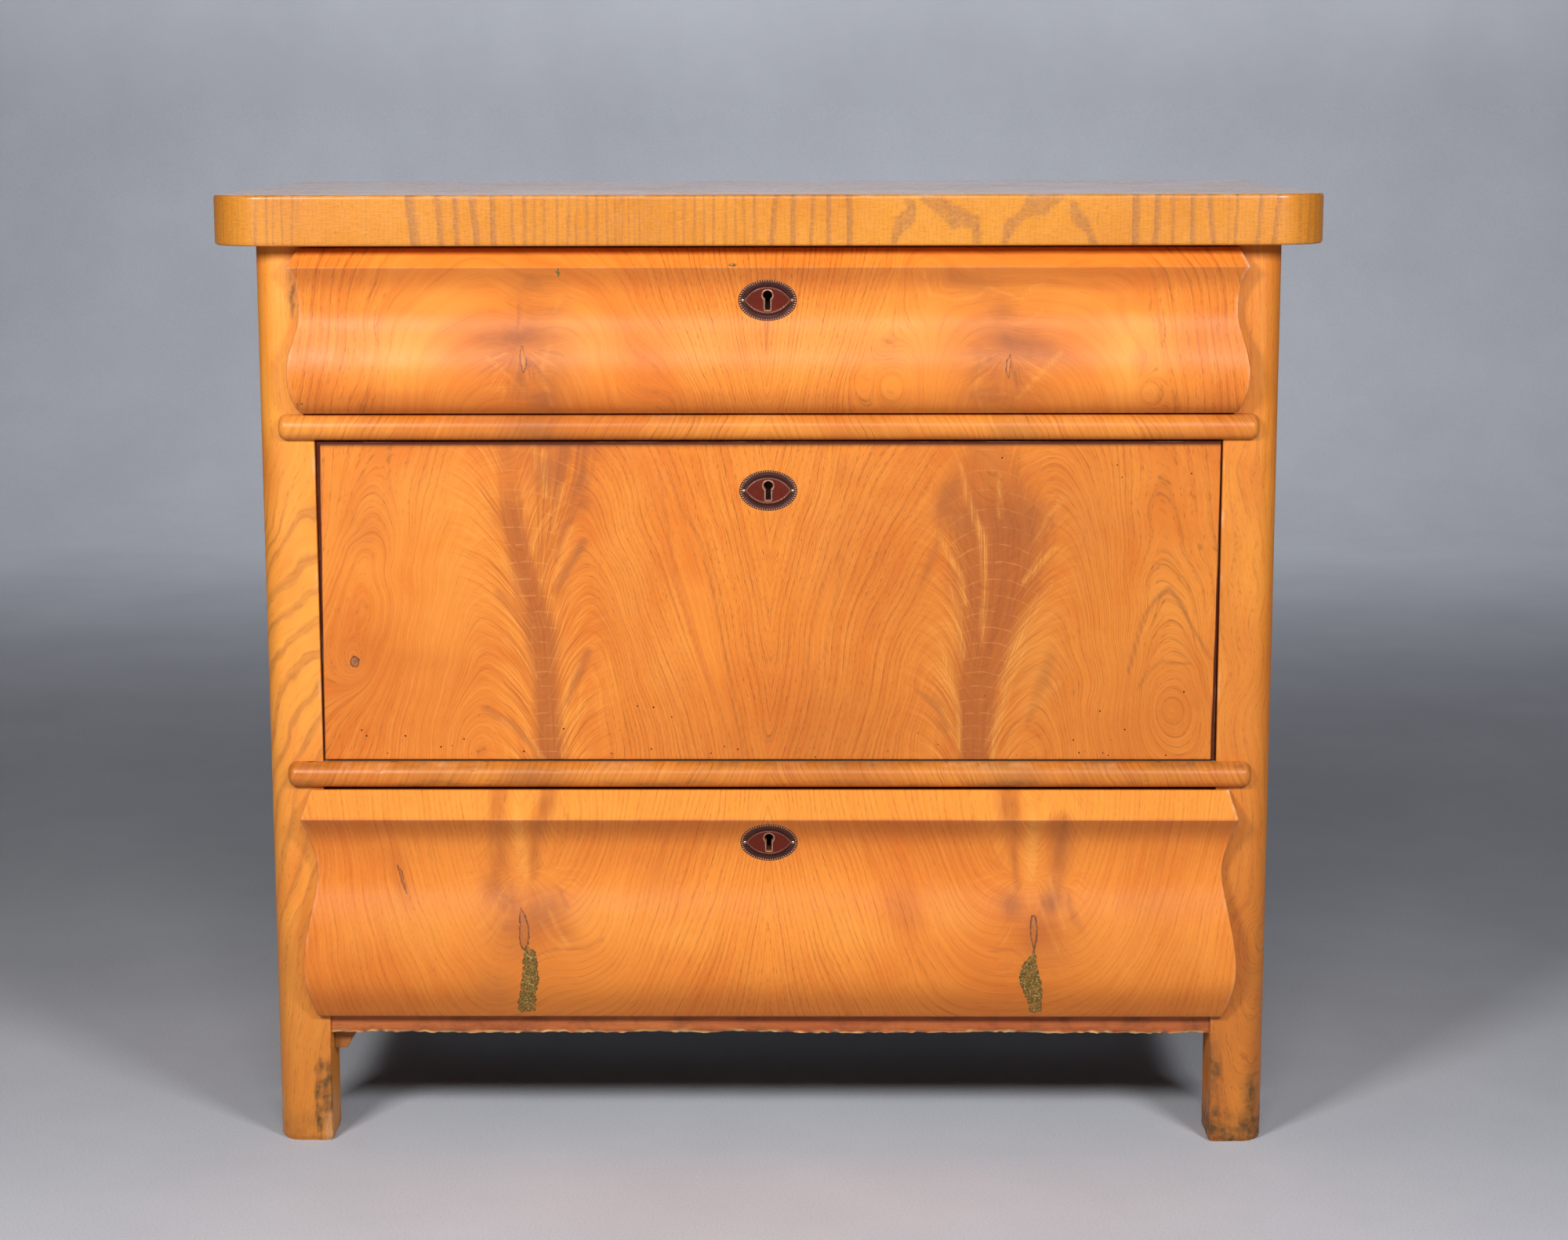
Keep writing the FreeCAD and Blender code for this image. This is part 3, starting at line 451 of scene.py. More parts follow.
def metal(name, base, second, rough, metallic=1.0, grain=120.0, spots=0.4):
    g = Graph(name)
    place = g.place()
    a, b = g.noise(place, grain, 4.0, 0.65), g.noise(place, grain * 4.0, 3.0, 0.6)
    col = g.mix(g.span(a, 0.5 - 0.25 * spots, 0.72, 0.0, 1.0), base, second)
    col = g.shade(col, g.span(b, 0.25, 0.75, 0.80, 1.15))
    g.set(Base_Color=col, Metallic=metallic, Roughness=g.span(a, 0.3, 0.7, rough, min(1.0, rough + 0.25)))
    g.bump(g.plus(a, g.mul(b, 0.5)), 0.18, 0.0004)
    return g.mat


def pressed_copper(name):
    """Dark coppered sheet: the raised lines rubbed lighter, the ground red-brown."""
    g = Graph(name)
    place = g.place()
    high, field = g.attr("high"), g.attr("field")
    a, b = g.noise(place, 160.0, 4.0, 0.65), g.noise(place, 600.0, 3.0, 0.6)
    col = g.mix(g.span(a, 0.35, 0.70), (0.060, 0.012, 0.007), (0.030, 0.006, 0.005))
    col = g.mix(g.mul(field, g.span(b, 0.2, 0.8, 0.55, 1.0)), col, (0.172, 0.021, 0.010))
    col = g.mix(g.mul(high, g.span(b, 0.30, 0.62, 0.45, 0.95)), col, (0.800, 0.470, 0.330))
    g.set(Base_Color=col, Metallic=0.45, Roughness=g.span(a, 0.3, 0.7, 0.32, 0.50), Specular_IOR_Level=0.25, Coat_Weight=0.04, Coat_Roughness=0.2)
    g.bump(g.plus(a, g.mul(b, 0.6)), 0.12, 0.0002)
    return g.mat


def filler(name):
    """Crumbly olive stopping with pale and dark grit."""
    g = Graph(name)
    place = g.place()
    a, b, c = g.noise(place, 520.0, 3.0, 0.7), g.cells(place, 900.0), g.noise(place, 90.0, 2.0)
    col = g.ramp(a, [(0.32, (0.050, 0.028, 0.006)), (0.47, (0.165, 0.092, 0.016)), (0.58, (0.270, 0.160, 0.030)), (0.70, (0.760, 0.540, 0.190))])
    col = g.mix(g.span(b, 0.34, 0.14, 0.0, 0.80), col, (0.040, 0.024, 0.008))
    col = g.mix(g.span(c, 0.45, 0.7, 0.0, 0.35), col, (0.340, 0.150, 0.030))
    col = g.mix(g.mul(g.attr("rim"), 0.55), col, (0.100, 0.050, 0.016))
    g.set(Base_Color=col, Roughness=0.62, Specular_IOR_Level=0.3)
    g.bump(a, 0.6, 0.0008)
    return g.mat


def knot(name, tone=(0.660, 0.200, 0.034), rim=(0.130, 0.042, 0.014)):
    """Small sound knot: wood tone inside a dark bark line."""
    g = Graph(name)
    place = g.place()
    s = g.split(place)
    grain = g.noise(g.vec(g.mul(s[0], 900.0), 0.0, g.mul(s[2], 160.0)), 1.0, 3.0, 0.6)
    edge = g.math("MULTIPLY", g.attr("rim"), g.span(g.noise(place, 420.0, 2.0), 0.30, 0.62, 0.35, 1.0), True)
    col = g.shade(tone, g.span(grain, 0.25, 0.75, 0.66, 1.18))
    col = g.mix(edge, col, rim)
    g.set(Base_Color=col, Roughness=g.span(grain, 0.3, 0.7, 0.40, 0.55), Specular_IOR_Level=0.35)
    g.bump(g.plus(grain, g.mul(edge, -0.6)), 0.3, 0.0006)
    return g.mat


def hollow(name, tone=(0.020, 0.009, 0.004)):
    g = Graph(name)
    a = g.noise(g.place(), 700.0, 2.0)
    g.set(Base_Color=g.shade(tone, g.span(a, 0.2, 0.8, 0.6, 1.4)), Roughness=0.8, Specular_IOR_Level=0.2)
    return g.mat


def banded(name):
    """Cross-banded edge: short upright grain with brown late-wood lines."""
    g = Graph(name)
    place = g.place()
    phi, psi, band = g.attr("phi"), g.attr("psi"), g.attr("band")
    fibre = g.noise(g.vec(g.mul(phi, 9.0), g.mul(psi, 0.10), 3.3), 1.0, 3.0, 0.6)
    ripple = g.noise(g.vec(g.mul(phi, 0.5), g.mul(psi, 0.55), 6.0), 1.0, 2.0)
    broad = g.noise(place, 6.0, 3.0, 0.55)
    mottle = g.noise(place, 60.0, 3.0, 0.6)
    wavelet = g.noise(g.vec(g.mul(phi, 1.6), g.mul(psi, 0.42), 8.0), 1.0, 2.0, 0.6)
    col = g.mix(g.span(g.plus(broad, g.mul(ripple, 0.25), -0.12), 0.34, 0.66), (0.620, 0.212, 0.022), (0.720, 0.282, 0.034))
    hair = g.ramp(g.math("FRACT", g.plus(g.mul(phi, 1.25), g.mul(g.noise(g.vec(g.mul(phi, 1.0), g.mul(psi, 0.06), 0.0), 1.0, 2.0), 1.6))),
                  [(0.0, 1.0), (0.16, 0.2), (0.4, 0.0), (0.9, 0.0), (1.0, 1.0)])
    col = g.mix(g.mul(hair, g.span(wavelet, 0.40, 0.65, 0.0, 0.58)), col, (0.36, 0.125, 0.030))
    chop = g.noise(g.vec(g.mul(phi, 0.55), g.mul(psi, 1.05), 1.0), 1.0, 2.0, 0.6)
    col = g.shade(col, g.span(chop, 0.30, 0.70, 0.86, 1.08))
    mark = g.mul(band, g.span(wavelet, 0.30, 0.56, 0.45, 1.0))
    col = g.mix(g.mul(mark, 1.0), col, (0.275, 0.106, 0.038))
    pores = g.mul(g.span(g.noise(g.vec(g.mul(phi, 14.0), g.mul(psi, 0.9), 2.0), 1.0, 1.0), 0.58, 0.70), mark)
    col = g.mix(g.mul(pores, 0.6), col, (0.170, 0.062, 0.030))
    col = g.shade(col, g.span(fibre, 0.25, 0.75, 0.93, 1.06))
    rub = g.mul(g.attr("wear"), g.span(g.noise(place, 80.0, 4.0, 0.7), 0.36, 0.62))
    col = g.mix(g.mul(rub, 0.7), col, WORN)
    g.set(Base_Color=col, Roughness=g.plus(g.span(mottle, 0.3, 0.7, 0.27, 0.38), g.mul(mark, 0.10)), Specular_IOR_Level=0.45,
          Coat_Weight=0.25, Coat_Roughness=0.15)
    g.bump(g.plus(g.mul(fibre, 0.3), g.mul(ripple, 0.5), g.mul(mark, -0.35), g.mul(pores, -0.5)), 0.20, 0.0006)
    return g.mat


def torn(name):
    """Red-stained rail, its broken lower edge showing paler raw wood."""
    g = Graph(name)
    place = g.place()
    s = g.split(place)
    raw = g.attr("torn")
    fibre = g.noise(g.vec(g.mul(s[0], 26.0), g.mul(s[1], 700.0), g.mul(s[2], 700.0)), 1.0, 3.0, 0.65)
    broad = g.noise(g.vec(g.mul(s[0], 6.0), g.mul(s[1], 20.0), g.mul(s[2], 60.0)), 1.0, 3.0)
    dirt = g.noise(place, 38.0, 5.0, 0.7)
    col = g.mix(g.span(broad, 0.3, 0.7), (0.400, 0.092, 0.024), (0.520, 0.150, 0.038))
    col = g.mix(g.span(dirt, 0.46, 0.70, 0.0, 0.65), col, (0.140, 0.044, 0.018))
    pale = g.mix(g.span(fibre, 0.3, 0.7), (0.480, 0.280, 0.095), (0.760, 0.500, 0.220))
    col = g.mix(g.mul(raw, g.span(g.noise(place, 55.0, 3.0, 0.6), 0.30, 0.60, 0.25, 1.0)), col, pale)
    col = g.shade(col, g.span(fibre, 0.25, 0.75, 0.80, 1.14))
    g.set(Base_Color=col, Roughness=g.span(dirt, 0.3, 0.7, 0.48, 0.66), Specular_IOR_Level=0.3)
    g.bump(g.plus(fibre, g.mul(dirt, 0.8)), 0.35, 0.0010)
    return g.mat


# ------------------------------------------------------------------ grain of the three fronts
# Guide lines of the book-matched figure: (line number, [(x, z), ...]) in
# millimetres from the middle of the chest and from the floor.
GUIDES = {
    "mid_left": [
        (0, [(-193,374),(-190,403),(-179,446),(-168,474),(-159,458),(-150,415),(-144,374)]),
        (6, [(-196,449),(-190,483),(-175,517),(-159,521),(-146,499),(-131,449),(-115,374)]),
        (11, [(-198,519),(-190,542),(-179,567),(-169,576),(-155,558),(-138,517),(-118,449),(-97,374)]),
        (15, [(-202,574),(-193,601),(-179,615),(-164,610),(-147,567),(-125,508),(-102,449),(-81,374)]),
        (19, [(-204,633),(-184,656),(-165,646),(-140,585),(-113,517),(-90,458),(-65,374)]),
        (23, [(-154,669),(-127,601),(-102,540),(-79,471),(-52,374)]),
        (27, [(-125,669),(-97,596),(-72,517),(-52,449),(-36,374)]),
        (31, [(-93,669),(-65,587),(-47,517),(-34,449),(-18,374)]),
        (35, [(-56,669),(-36,585),(-20,517),(-9,449),(0,392)]),
        (39, [(-29,669),(-13,585),(0,512)]),
        (42, [(-4,669),(0,631)]),
        (0, [(-218,374),(-231,403),(-252,426),(-275,428),(-290,408),(-297,374)]),
        (6, [(-220,431),(-231,460),(-247,483),(-263,492),(-280,476),(-293,437),(-306,374)]),
        (11, [(-225,481),(-236,512),(-252,535),(-265,535),(-284,512),(-297,460),(-314,374)]),
        (15, [(-234,535),(-247,567),(-263,567),(-281,549),(-295,503),(-309,449),(-323,374)]),
        (19, [(-240,590),(-254,615),(-270,606),(-288,562),(-304,503),(-318,437),(-332,374)]),
        (23, [(-240,651),(-263,646),(-286,601),(-306,531),(-322,471),(-342,374)]),
        (27, [(-275,669),(-297,621),(-318,549),(-331,481),(-353,374)]),
        (30, [(-304,669),(-320,617),(-332,549),(-342,471),(-371,374)]),
        (33, [(-329,669),(-339,608),(-345,549),(-347,494),(-384,403),(-395,374)]),
        (36, [(-350,494),(-352,562),(-356,590),(-365,601),(-379,585),(-395,562),(-409,526)]),
        (39, [(-360,526),(-367,567),(-378,569),(-390,540)]),
        (31, [(-406,669),(-410,608),(-417,558)]),
    ],
    "mid_right": [
        (42, [(0,581),(14,631),(23,669)]),
        (39, [(0,481),(14,562),(30,619),(41,669)]),
        (35, [(5,403),(23,517),(43,594),(61,669)]),
        (31, [(18,374),(39,494),(59,567),(77,615),(98,662)]),
        (27, [(39,374),(61,494),(89,574),(118,635),(141,667)]),
        (23, [(59,374),(80,460),(109,549),(139,601),(164,633),(177,656)]),
        (19, [(77,374),(98,453),(127,531),(148,571),(164,585),(182,581)]),
        (15, [(97,374),(114,437),(139,508),(157,537),(173,540),(186,521)]),
        (11, [(116,374),(131,433),(148,481),(161,490),(175,483),(182,458)]),
        (6, [(136,374),(143,415),(155,446),(166,449),(174,435),(180,408)]),
        (0, [(157,374),(159,399),(166,408),(175,394),(178,374)]),
        (0, [(209,374),(218,399),(239,408),(255,399),(264,374)]),
        (6, [(211,415),(223,449),(245,458),(264,449),(274,421),(282,374)]),
        (11, [(214,460),(230,490),(250,512),(268,508),(282,471),(289,426),(295,374)]),
        (15, [(211,517),(239,549),(266,569),(284,549),(295,503),(305,437),(310,374)]),
        (19, [(211,574),(241,601),(268,612),(289,585),(305,517),(315,449),(318,374)]),
        (23, [(211,619),(245,653),(273,656),(295,615),(309,549),(319,471),(323,374)]),
        (27, [(293,669),(311,608),(320,540),(327,471),(330,374)]),
        (30, [(318,669),(325,608),(328,540),(333,471),(335,374)]),
        (33, [(339,669),(339,608),(336,540),(336,483),(338,449),(341,374)]),
        (34, [(364,669),(373,619),(386,562),(405,483),(416,437)]),
        (36, [(341,403),(343,449),(350,490),(357,508),(373,528),(384,519),(395,490),(409,431)]),
        (40, [(351,415),(352,435),(368,462),(391,458),(405,428),(407,408)]),
        (44, [(364,419),(375,431),(386,419),(375,406)]),
        (32.5, [(391,669),(400,608),(416,540)]),
    ],
    "top_left": [
        (16.6, [(-426,705),(-415,759),(-406,830),(-401,845)]),
        (14.4, [(-410,705),(-397,759),(-388,830),(-382,845)]),
        (12.3, [(-395,705),(-379,770),(-367,830),(-360,845)]),
        (10.4, [(-380,705),(-365,782),(-356,807),(-345,832),(-337,845)]),
        (5, [(-315,702),(-309,730),(-299,752),(-272,770),(-245,777)]),
        (2, [(-297,702),(-291,720),(-272,741),(-247,752)]),
        (-1, [(-272,702),(-256,714),(-238,716)]),
        (7, [(-333,702),(-329,748),(-313,782),(-281,805),(-245,811)]),
        (9, [(-354,702),(-345,759),(-322,805),(-295,830),(-281,845)]),
        (-1, [(-210,714),(-199,723),(-188,702)]),
        (2, [(-210,743),(-192,752),(-179,732),(-170,702)]),
        (5, [(-210,764),(-181,766),(-167,743),(-156,702)]),
        (7, [(-213,793),(-188,795),(-167,786),(-151,761),(-145,732),(-139,702)]),
        (9, [(-213,825),(-188,827),(-158,809),(-138,775),(-133,752)]),
        (11, [(-167,830),(-147,814),(-122,775),(-92,752),(-76,723),(-71,702)]),
        (14, [(-126,830),(-113,795),(-88,759),(-70,727),(-63,702)]),
        (17, [(-101,830),(-85,782),(-67,736),(-56,702)]),
        (21, [(-81,830),(-67,782),(-49,730),(-41,702)]),
        (25, [(-63,830),(-49,782),(-33,730),(-26,702)]),
        (29, [(-45,830),(-33,782),(-20,725),(-14,702)]),
        (33, [(-24,830),(-17,770),(-7,714)]),
        (36, [(-8,830),(-5,775),(-1,723)]),
    ],
    "top_right": [
        (36, [(8,830),(5,775),(1,723)]),
        (33, [(23,830),(16,770),(7,714)]),
        (29, [(43,830),(32,770),(19,714)]),
        (25, [(61,830),(45,759),(32,705)]),
        (21, [(78,830),(64,770),(47,705)]),
        (17, [(95,830),(84,793),(68,741),(59,702)]),
        (14, [(114,830),(98,793),(84,755),(75,705)]),
        (11, [(89,732),(100,761),(116,772),(131,761),(137,741),(139,702)]),
        (13, [(98,732),(114,734),(123,720),(122,702)]),
        (9, [(127,830),(136,795),(145,755),(145,702)]),
        (7, [(148,702),(152,732),(164,761),(184,782),(200,786)]),
        (5, [(160,702),(165,730),(181,757),(200,766)]),
        (2, [(173,702),(177,723),(189,741),(205,745)]),
        (-1, [(186,702),(193,716),(205,720)]),
        (9, [(159,816),(189,816),(211,814)]),
        (-1, [(232,709),(241,718),(255,702)]),
        (2, [(230,736),(250,741),(268,723),(275,702)]),
        (5, [(232,759),(270,755),(293,739),(303,720),(307,702)]),
        (7, [(230,786),(273,782),(307,755),(325,723),(330,702)]),
        (9, [(230,816),(284,814),(323,777),(341,736),(348,702)]),
        (10.4, [(330,845),(350,830),(364,775),(373,730),(378,702)]),
        (12.3, [(355,845),(368,830),(382,770),(392,702)]),
        (14.4, [(375,845),(387,830),(399,770),(408,702)]),
        (16.6, [(393,845),(403,830),(412,770),(423,705)]),
    ],
    "low_left": [
        (34, [(-431,278),(-426,210),(-415,137)]),
        (30, [(-420,316),(-415,255),(-406,187),(-395,137)]),
        (26, [(-399,316),(-393,266),(-381,198),(-365,137)]),
        (22, [(-381,316),(-374,260),(-360,205),(-340,141)]),
        (18, [(-363,316),(-356,260),(-340,210),(-317,153),(-310,137)]),
        (14, [(-342,316),(-331,266),(-313,219),(-290,173),(-272,141)]),
        (10, [(-320,316),(-313,271),(-299,228),(-281,191),(-251,164)]),
        (6, [(-299,316),(-292,273),(-281,239),(-265,212),(-240,196)]),
        (2, [(-279,316),(-274,278),(-263,248),(-240,228)]),
        (-2, [(-263,341),(-260,316),(-256,287),(-245,269)]),
        (-2, [(-201,341),(-204,316),(-208,287),(-213,271)]),
        (2, [(-213,241),(-192,248),(-174,271),(-163,296),(-158,316)]),
        (6, [(-210,214),(-192,223),(-172,239),(-158,262),(-148,289),(-142,316)]),
        (10, [(-213,191),(-181,195),(-163,201),(-151,221),(-145,251),(-135,280),(-124,316)]),
        (14, [(-210,164),(-176,166),(-154,180),(-135,210),(-124,251),(-115,282),(-106,316)]),
        (18, [(-183,137),(-149,155),(-122,191),(-106,237),(-97,278),(-85,316)]),
        (22, [(-124,139),(-110,169),(-96,207),(-83,248),(-72,285),(-63,316)]),
        (26, [(-101,137),(-90,164),(-72,201),(-54,244),(-45,278),(-35,316)]),
        (30, [(-80,129),(-64,165),(-50,200),(-38,240),(-29,276),(-20,316)]),
        (34.5, [(-46,128),(-34,172),(-26,210),(-18,245),(-12.6,276),(-7,316)]),
        (38.5, [(-15.4,128),(-8,180),(-1,233)]),
        (40, [(-3,128),(-1,146)]),
    ],
    "low_right": [
        (40, [(1,146),(3,128)]),
        (38.5, [(1,233),(8,180),(15.4,128)]),
        (34.5, [(7,316),(12.6,276),(18,245),(26,210),(34,172),(46,128)]),
        (30, [(21,316),(30,276),(39,240),(51,200),(65,165),(81,129)]),
        (26, [(36,316),(48,273),(66,226),(89,169),(102,137)]),
        (22, [(57,316),(70,278),(86,232),(102,187),(120,137)]),
        (18, [(80,312),(100,255),(114,201),(127,160),(141,135)]),
        (14, [(102,312),(120,266),(136,219),(157,176),(182,148)]),
        (10, [(125,314),(141,278),(157,237),(173,205),(200,182),(232,178)]),
        (6, [(145,314),(159,276),(175,239),(195,216),(227,210)]),
        (2, [(168,314),(180,280),(195,253),(223,239)]),
        (-2, [(200,341),(205,314),(214,285),(230,266)]),
        (-2, [(284,341),(280,314),(273,287),(264,266)]),
        (2, [(266,241),(282,251),(295,282),(302,314)]),
        (6, [(266,212),(289,223),(309,255),(318,285),(323,314)]),
        (10, [(268,182),(295,189),(318,219),(330,255),(336,285),(341,314)]),
        (14, [(273,153),(300,166),(327,198),(345,244),(355,282),(359,314)]),
        (18, [(295,135),(320,155),(345,196),(364,244),(373,282),(377,314)]),
        (22, [(327,135),(345,164),(366,205),(382,251),(391,287),(395,314)]),
        (26, [(355,137),(373,187),(391,241),(407,301)]),
        (30, [(382,137),(398,198),(411,255),(420,301)]),
        (34, [(409,137),(418,210),(430,266)]),
    ],
}

# Cross-band lines of the top's front edge: (place at the top, at the bottom, width, strength);
# outlines of its broad brown flames; and growth lines of the two posts.
BAND_LINES = [
    (-481.5, -483.3, 1.8, 0.16), (-475.0, -477.0, 1.6, 0.22), (-468.8, -469.8, 1.3, 0.14), (-457.5, -458.8, 2.4, 0.42), (-448.1, -448.6, 1.4, 0.55), (-441.7, -442.9, 1.2, 0.36),
    (-434.6, -434.5, 1.4, 0.46), (-424.1, -426.0, 1.8, 0.52), (-419.8, -421.0, 1.2, 0.25), (-319.2, -315.2, 8.2, 0.62), (-294.4, -292.1, 5.1, 0.58), (-278.4, -277.6, 4.3, 0.62),
    (-263.2, -259.6, 5.3, 0.6), (-245.6, -244.8, 4.7, 0.62), (-228.4, -226.8, 2.3, 0.48), (-216.1, -216.8, 2.9, 0.52), (-207.5, -207.8, 2.1, 0.42), (-199.1, -199.0, 2.3, 0.45),
    (-187.0, -187.6, 2.1, 0.45), (-176.3, -178.2, 1.8, 0.5), (-169.1, -170.4, 1.8, 0.35), (-160.3, -160.8, 1.8, 0.46), (-151.9, -152.0, 1.8, 0.4), (-142.6, -142.3, 1.8, 0.44),
    (-136.3, -135.8, 1.2, 0.3), (-132.0, -132.5, 1.0, 0.3), (-128.1, -129.0, 1.0, 0.34), (-151.4, -151.5, 1.4, 0.4), (-142.6, -141.9, 1.4, 0.42), (-135.2, -134.8, 1.0, 0.36),
    (-128.9, -129.4, 1.0, 0.36), (-123.1, -123.5, 1.0, 0.38), (-118.4, -117.6, 1.0, 0.4), (-114.1, -112.9, 1.0, 0.44), (-109.0, -109.4, 1.0, 0.25), (-103.6, -104.0, 5.9, 0.16),
    (-95.8, -96.1, 4.7, 0.14), (-81.7, -82.1, 1.8, 0.3), (-73.2, -73.9, 1.8, 0.4), (-64.0, -64.5, 1.8, 0.5), (-56.2, -55.5, 1.8, 0.42), (-46.5, -47.3, 1.8, 0.46),
    (-35.9, -36.5, 2.0, 0.42), (-27.6, -27.7, 1.4, 0.38), (-20.2, -19.2, 1.6, 0.45), (-10.0, -9.8, 2.3, 0.46), (8.9, 5.3, 4.3, 0.58), (24.6, 24.0, 4.3, 0.6),
    (42.6, 40.0, 2.9, 0.55), (55.8, 56.6, 3.5, 0.6), (74.3, 75.0, 4.9, 0.64), (331.3, 330.8, 6.4, 0.64), (350.7, 348.8, 4.7, 0.6), (363.5, 364.3, 2.9, 0.5),
    (381.4, 381.9, 3.9, 0.58), (396.6, 400.2, 3.9, 0.6), (413.7, 413.6, 1.8, 0.28), (421.4, 420.0, 2.3, 0.52), (442.8, 440.3, 3.5, 0.54), (458.8, 454.7, 4.0, 0.56),
    (479.2, 479.1, 3.5, 0.34), (490.9, 490.2, 2.9, 0.4), (500.6, 500.9, 3.2, 0.25),
]
FLAMES = [
    [(124.3, 892.9), (133.1, 891.5), (134.2, 878.4), (131.3, 868.7), (120.6, 861.0), (116.7, 851.9), (111.7, 851.9), (112.8, 862.9), (115.7, 874.5), (126.3, 884.2), (122.8, 890.4)],
    [(138.9, 895.4), (149.6, 894.8), (159.4, 892.8), (171.1, 886.1), (182.8, 880.2), (191.1, 876.4), (191.9, 865.1), (192.1, 851.8), (185.4, 851.8), (183.9, 865.7), (175.1, 867.7), (167.4, 863.8), (161.5, 870.6), (156.6, 876.4), (149.7, 881.3), (143.8, 887.1), (138.0, 890.9)],
    [(232.9, 895.6), (250.4, 896), (267.9, 895.2), (262.2, 888.8), (254.4, 884.0), (252.6, 878.2), (238.9, 877.3), (227.3, 870.5), (221.6, 862.8), (215.8, 851.5), (211.0, 851.6), (211.8, 866.7), (215.6, 874.4), (227.2, 880.2), (231.0, 889.8)],
    [(271.8, 890.7), (277.7, 889.4), (281.7, 880.1), (289.6, 874.3), (290.7, 866.5), (297.7, 851.4), (289.9, 851.4), (285.9, 860.7), (278.0, 868.5), (274.1, 870.4), (272.0, 878.2)],
]
POST_GUIDES = {
    "left": [
        (-4, [(43.1, 841.7), (44.0, 799.0), (44.2, 745.4), (42.8, 673.4)]),
        (-3, [(34.1, 841.6), (34.5, 799.0), (35.2, 745.4), (33.2, 691.5)]),
        (-2, [(24.6, 831.0), (25.0, 799.0), (24.8, 763.3)]),
        (-2, [(32.9, 640.8), (38.7, 617.2), (43.5, 589.8)]),
        (-1, [(18.5, 640.8), (29.0, 622.6), (36.0, 598.9), (42.0, 580.7)]),
        (0, [(1.4, 606.2), (12.3, 605.3), (23.4, 595.3), (32.9, 580.7), (42.4, 566.1)]),
        (1, [(-0.3, 569.7), (9.8, 562.4), (21.0, 551.4), (30.4, 542.2), (39.7, 534.9), (46.2, 531.2)]),
        (2, [(2.4, 534.8), (14.4, 531.2), (25.6, 518.3), (35.0, 509.1), (44.3, 503.6), (48.0, 501.7)]),
        (3, [(0.4, 509.1), (9.7, 503.5), (22.7, 492.5), (32.2, 481.4), (41.6, 472.1), (47.1, 470.3)]),
        (4, [(0.4, 475.8), (10.5, 474.0), (19.8, 466.6), (27.5, 455.4), (36.9, 444.3)]),
        (5, [(17.3, 427.6), (30.7, 407.1), (36.9, 382.8), (42.6, 375.3)]),
        (6, [(3.1, 410.8), (14.6, 394.0), (22.4, 377.2), (30.0, 367.8), (37.8, 352.8)]),
        (7, [(28.9, 341.5), (32.1, 326.5), (35.4, 309.5), (39.6, 292.5), (43.5, 283.0)]),
        (8, [(18.1, 300.0), (21.4, 283.0), (27.4, 266.0), (33.4, 250.8)]),
        (9, [(10.6, 271.7), (16.6, 256.5), (26.5, 231.7), (36.3, 214.6)]),
        (10, [(27.4, 201.2), (31.9, 174.4), (36.7, 136.0), (41.6, 97.4)]),
        (11, [(20.9, 166.7), (28.3, 136.0), (34.1, 97.4), (37.4, 48.9), (40.5, 4.0)]),
        (12, [(14.5, 132.1), (21.7, 105.1), (26.8, 58.6), (29.3, 4.0)]),
        (13, [(7.8, 105.1), (13.2, 78.0), (17.0, 39.2), (19.0, 4.0)]),
        (14, [(0.3, 105.1), (3.4, 58.6), (6.8, 4.0)]),
    ],
    "right": [
        (2, [(22.5, 815.6), (23.1, 762.3), (26.7, 699.6)]),
        (3, [(28.9, 833.3), (31.0, 744.4), (33.4, 645.6)]),
        (4, [(35.1, 833.3), (38.1, 744.4), (40.0, 654.6)]),
        (5, [(41.6, 833.3), (46.1, 654.6)]),
        (1, [(6.6, 640.2), (9.5, 589.3), (12.4, 541.9)]),
        (1, [(17.5, 479.4), (16.7, 433.1)]),
        (2, [(13.7, 643.8), (23.5, 607.5), (32.3, 580.2), (34.6, 534.5), (34.7, 479.4)]),
        (3, [(24.5, 643.8), (34.0, 607.5), (38.5, 567.4), (40.5, 516.2), (41.0, 442.4)]),
        (4, [(38.8, 643.8), (42.3, 589.3), (44.9, 497.8), (45.4, 433.1)]),
        (5, [(45.6, 625.6), (50.1, 442.4)]),
        (1, [(13.1, 431.3), (9.8, 375.5)]),
        (2, [(22.2, 431.3), (18.8, 379.2), (27.5, 319.3), (23.8, 281.6)]),
        (3, [(31.3, 431.3), (30.8, 375.5), (34.0, 300.4), (30.4, 234.3)]),
        (4, [(39.5, 431.3), (40.5, 338.0), (41.7, 224.8)]),
        (5, [(45.5, 431.3), (49.1, 224.8)]),
        (3, [(16.2, 213.3), (20.7, 179.0), (28.7, 150.3), (36.9, 117.7), (39.4, 106.1), (46.0, 121.5), (49.3, 156.1)]),
        (4.5, [(30.2, 203.8), (34.1, 171.4), (40.9, 142.6), (44.7, 139.2), (48.7, 150.3), (50.4, 169.5)]),
        (6, [(38.4, 209.5), (41.7, 186.7), (44.7, 177.1), (47.2, 186.7)]),
        (2, [(18.5, 150.3), (25.7, 121.5), (32.7, 98.4), (39.6, 83.0), (44.8, 98.4), (48.9, 117.7)]),
        (1, [(13.2, 98.4), (19.3, 75.2), (27.3, 50.0), (38.7, 40.3), (45.7, 59.8)]),
        (0, [(9.0, 79.1), (12.7, 40.3), (16.2, 5.3)]),
    ],
}

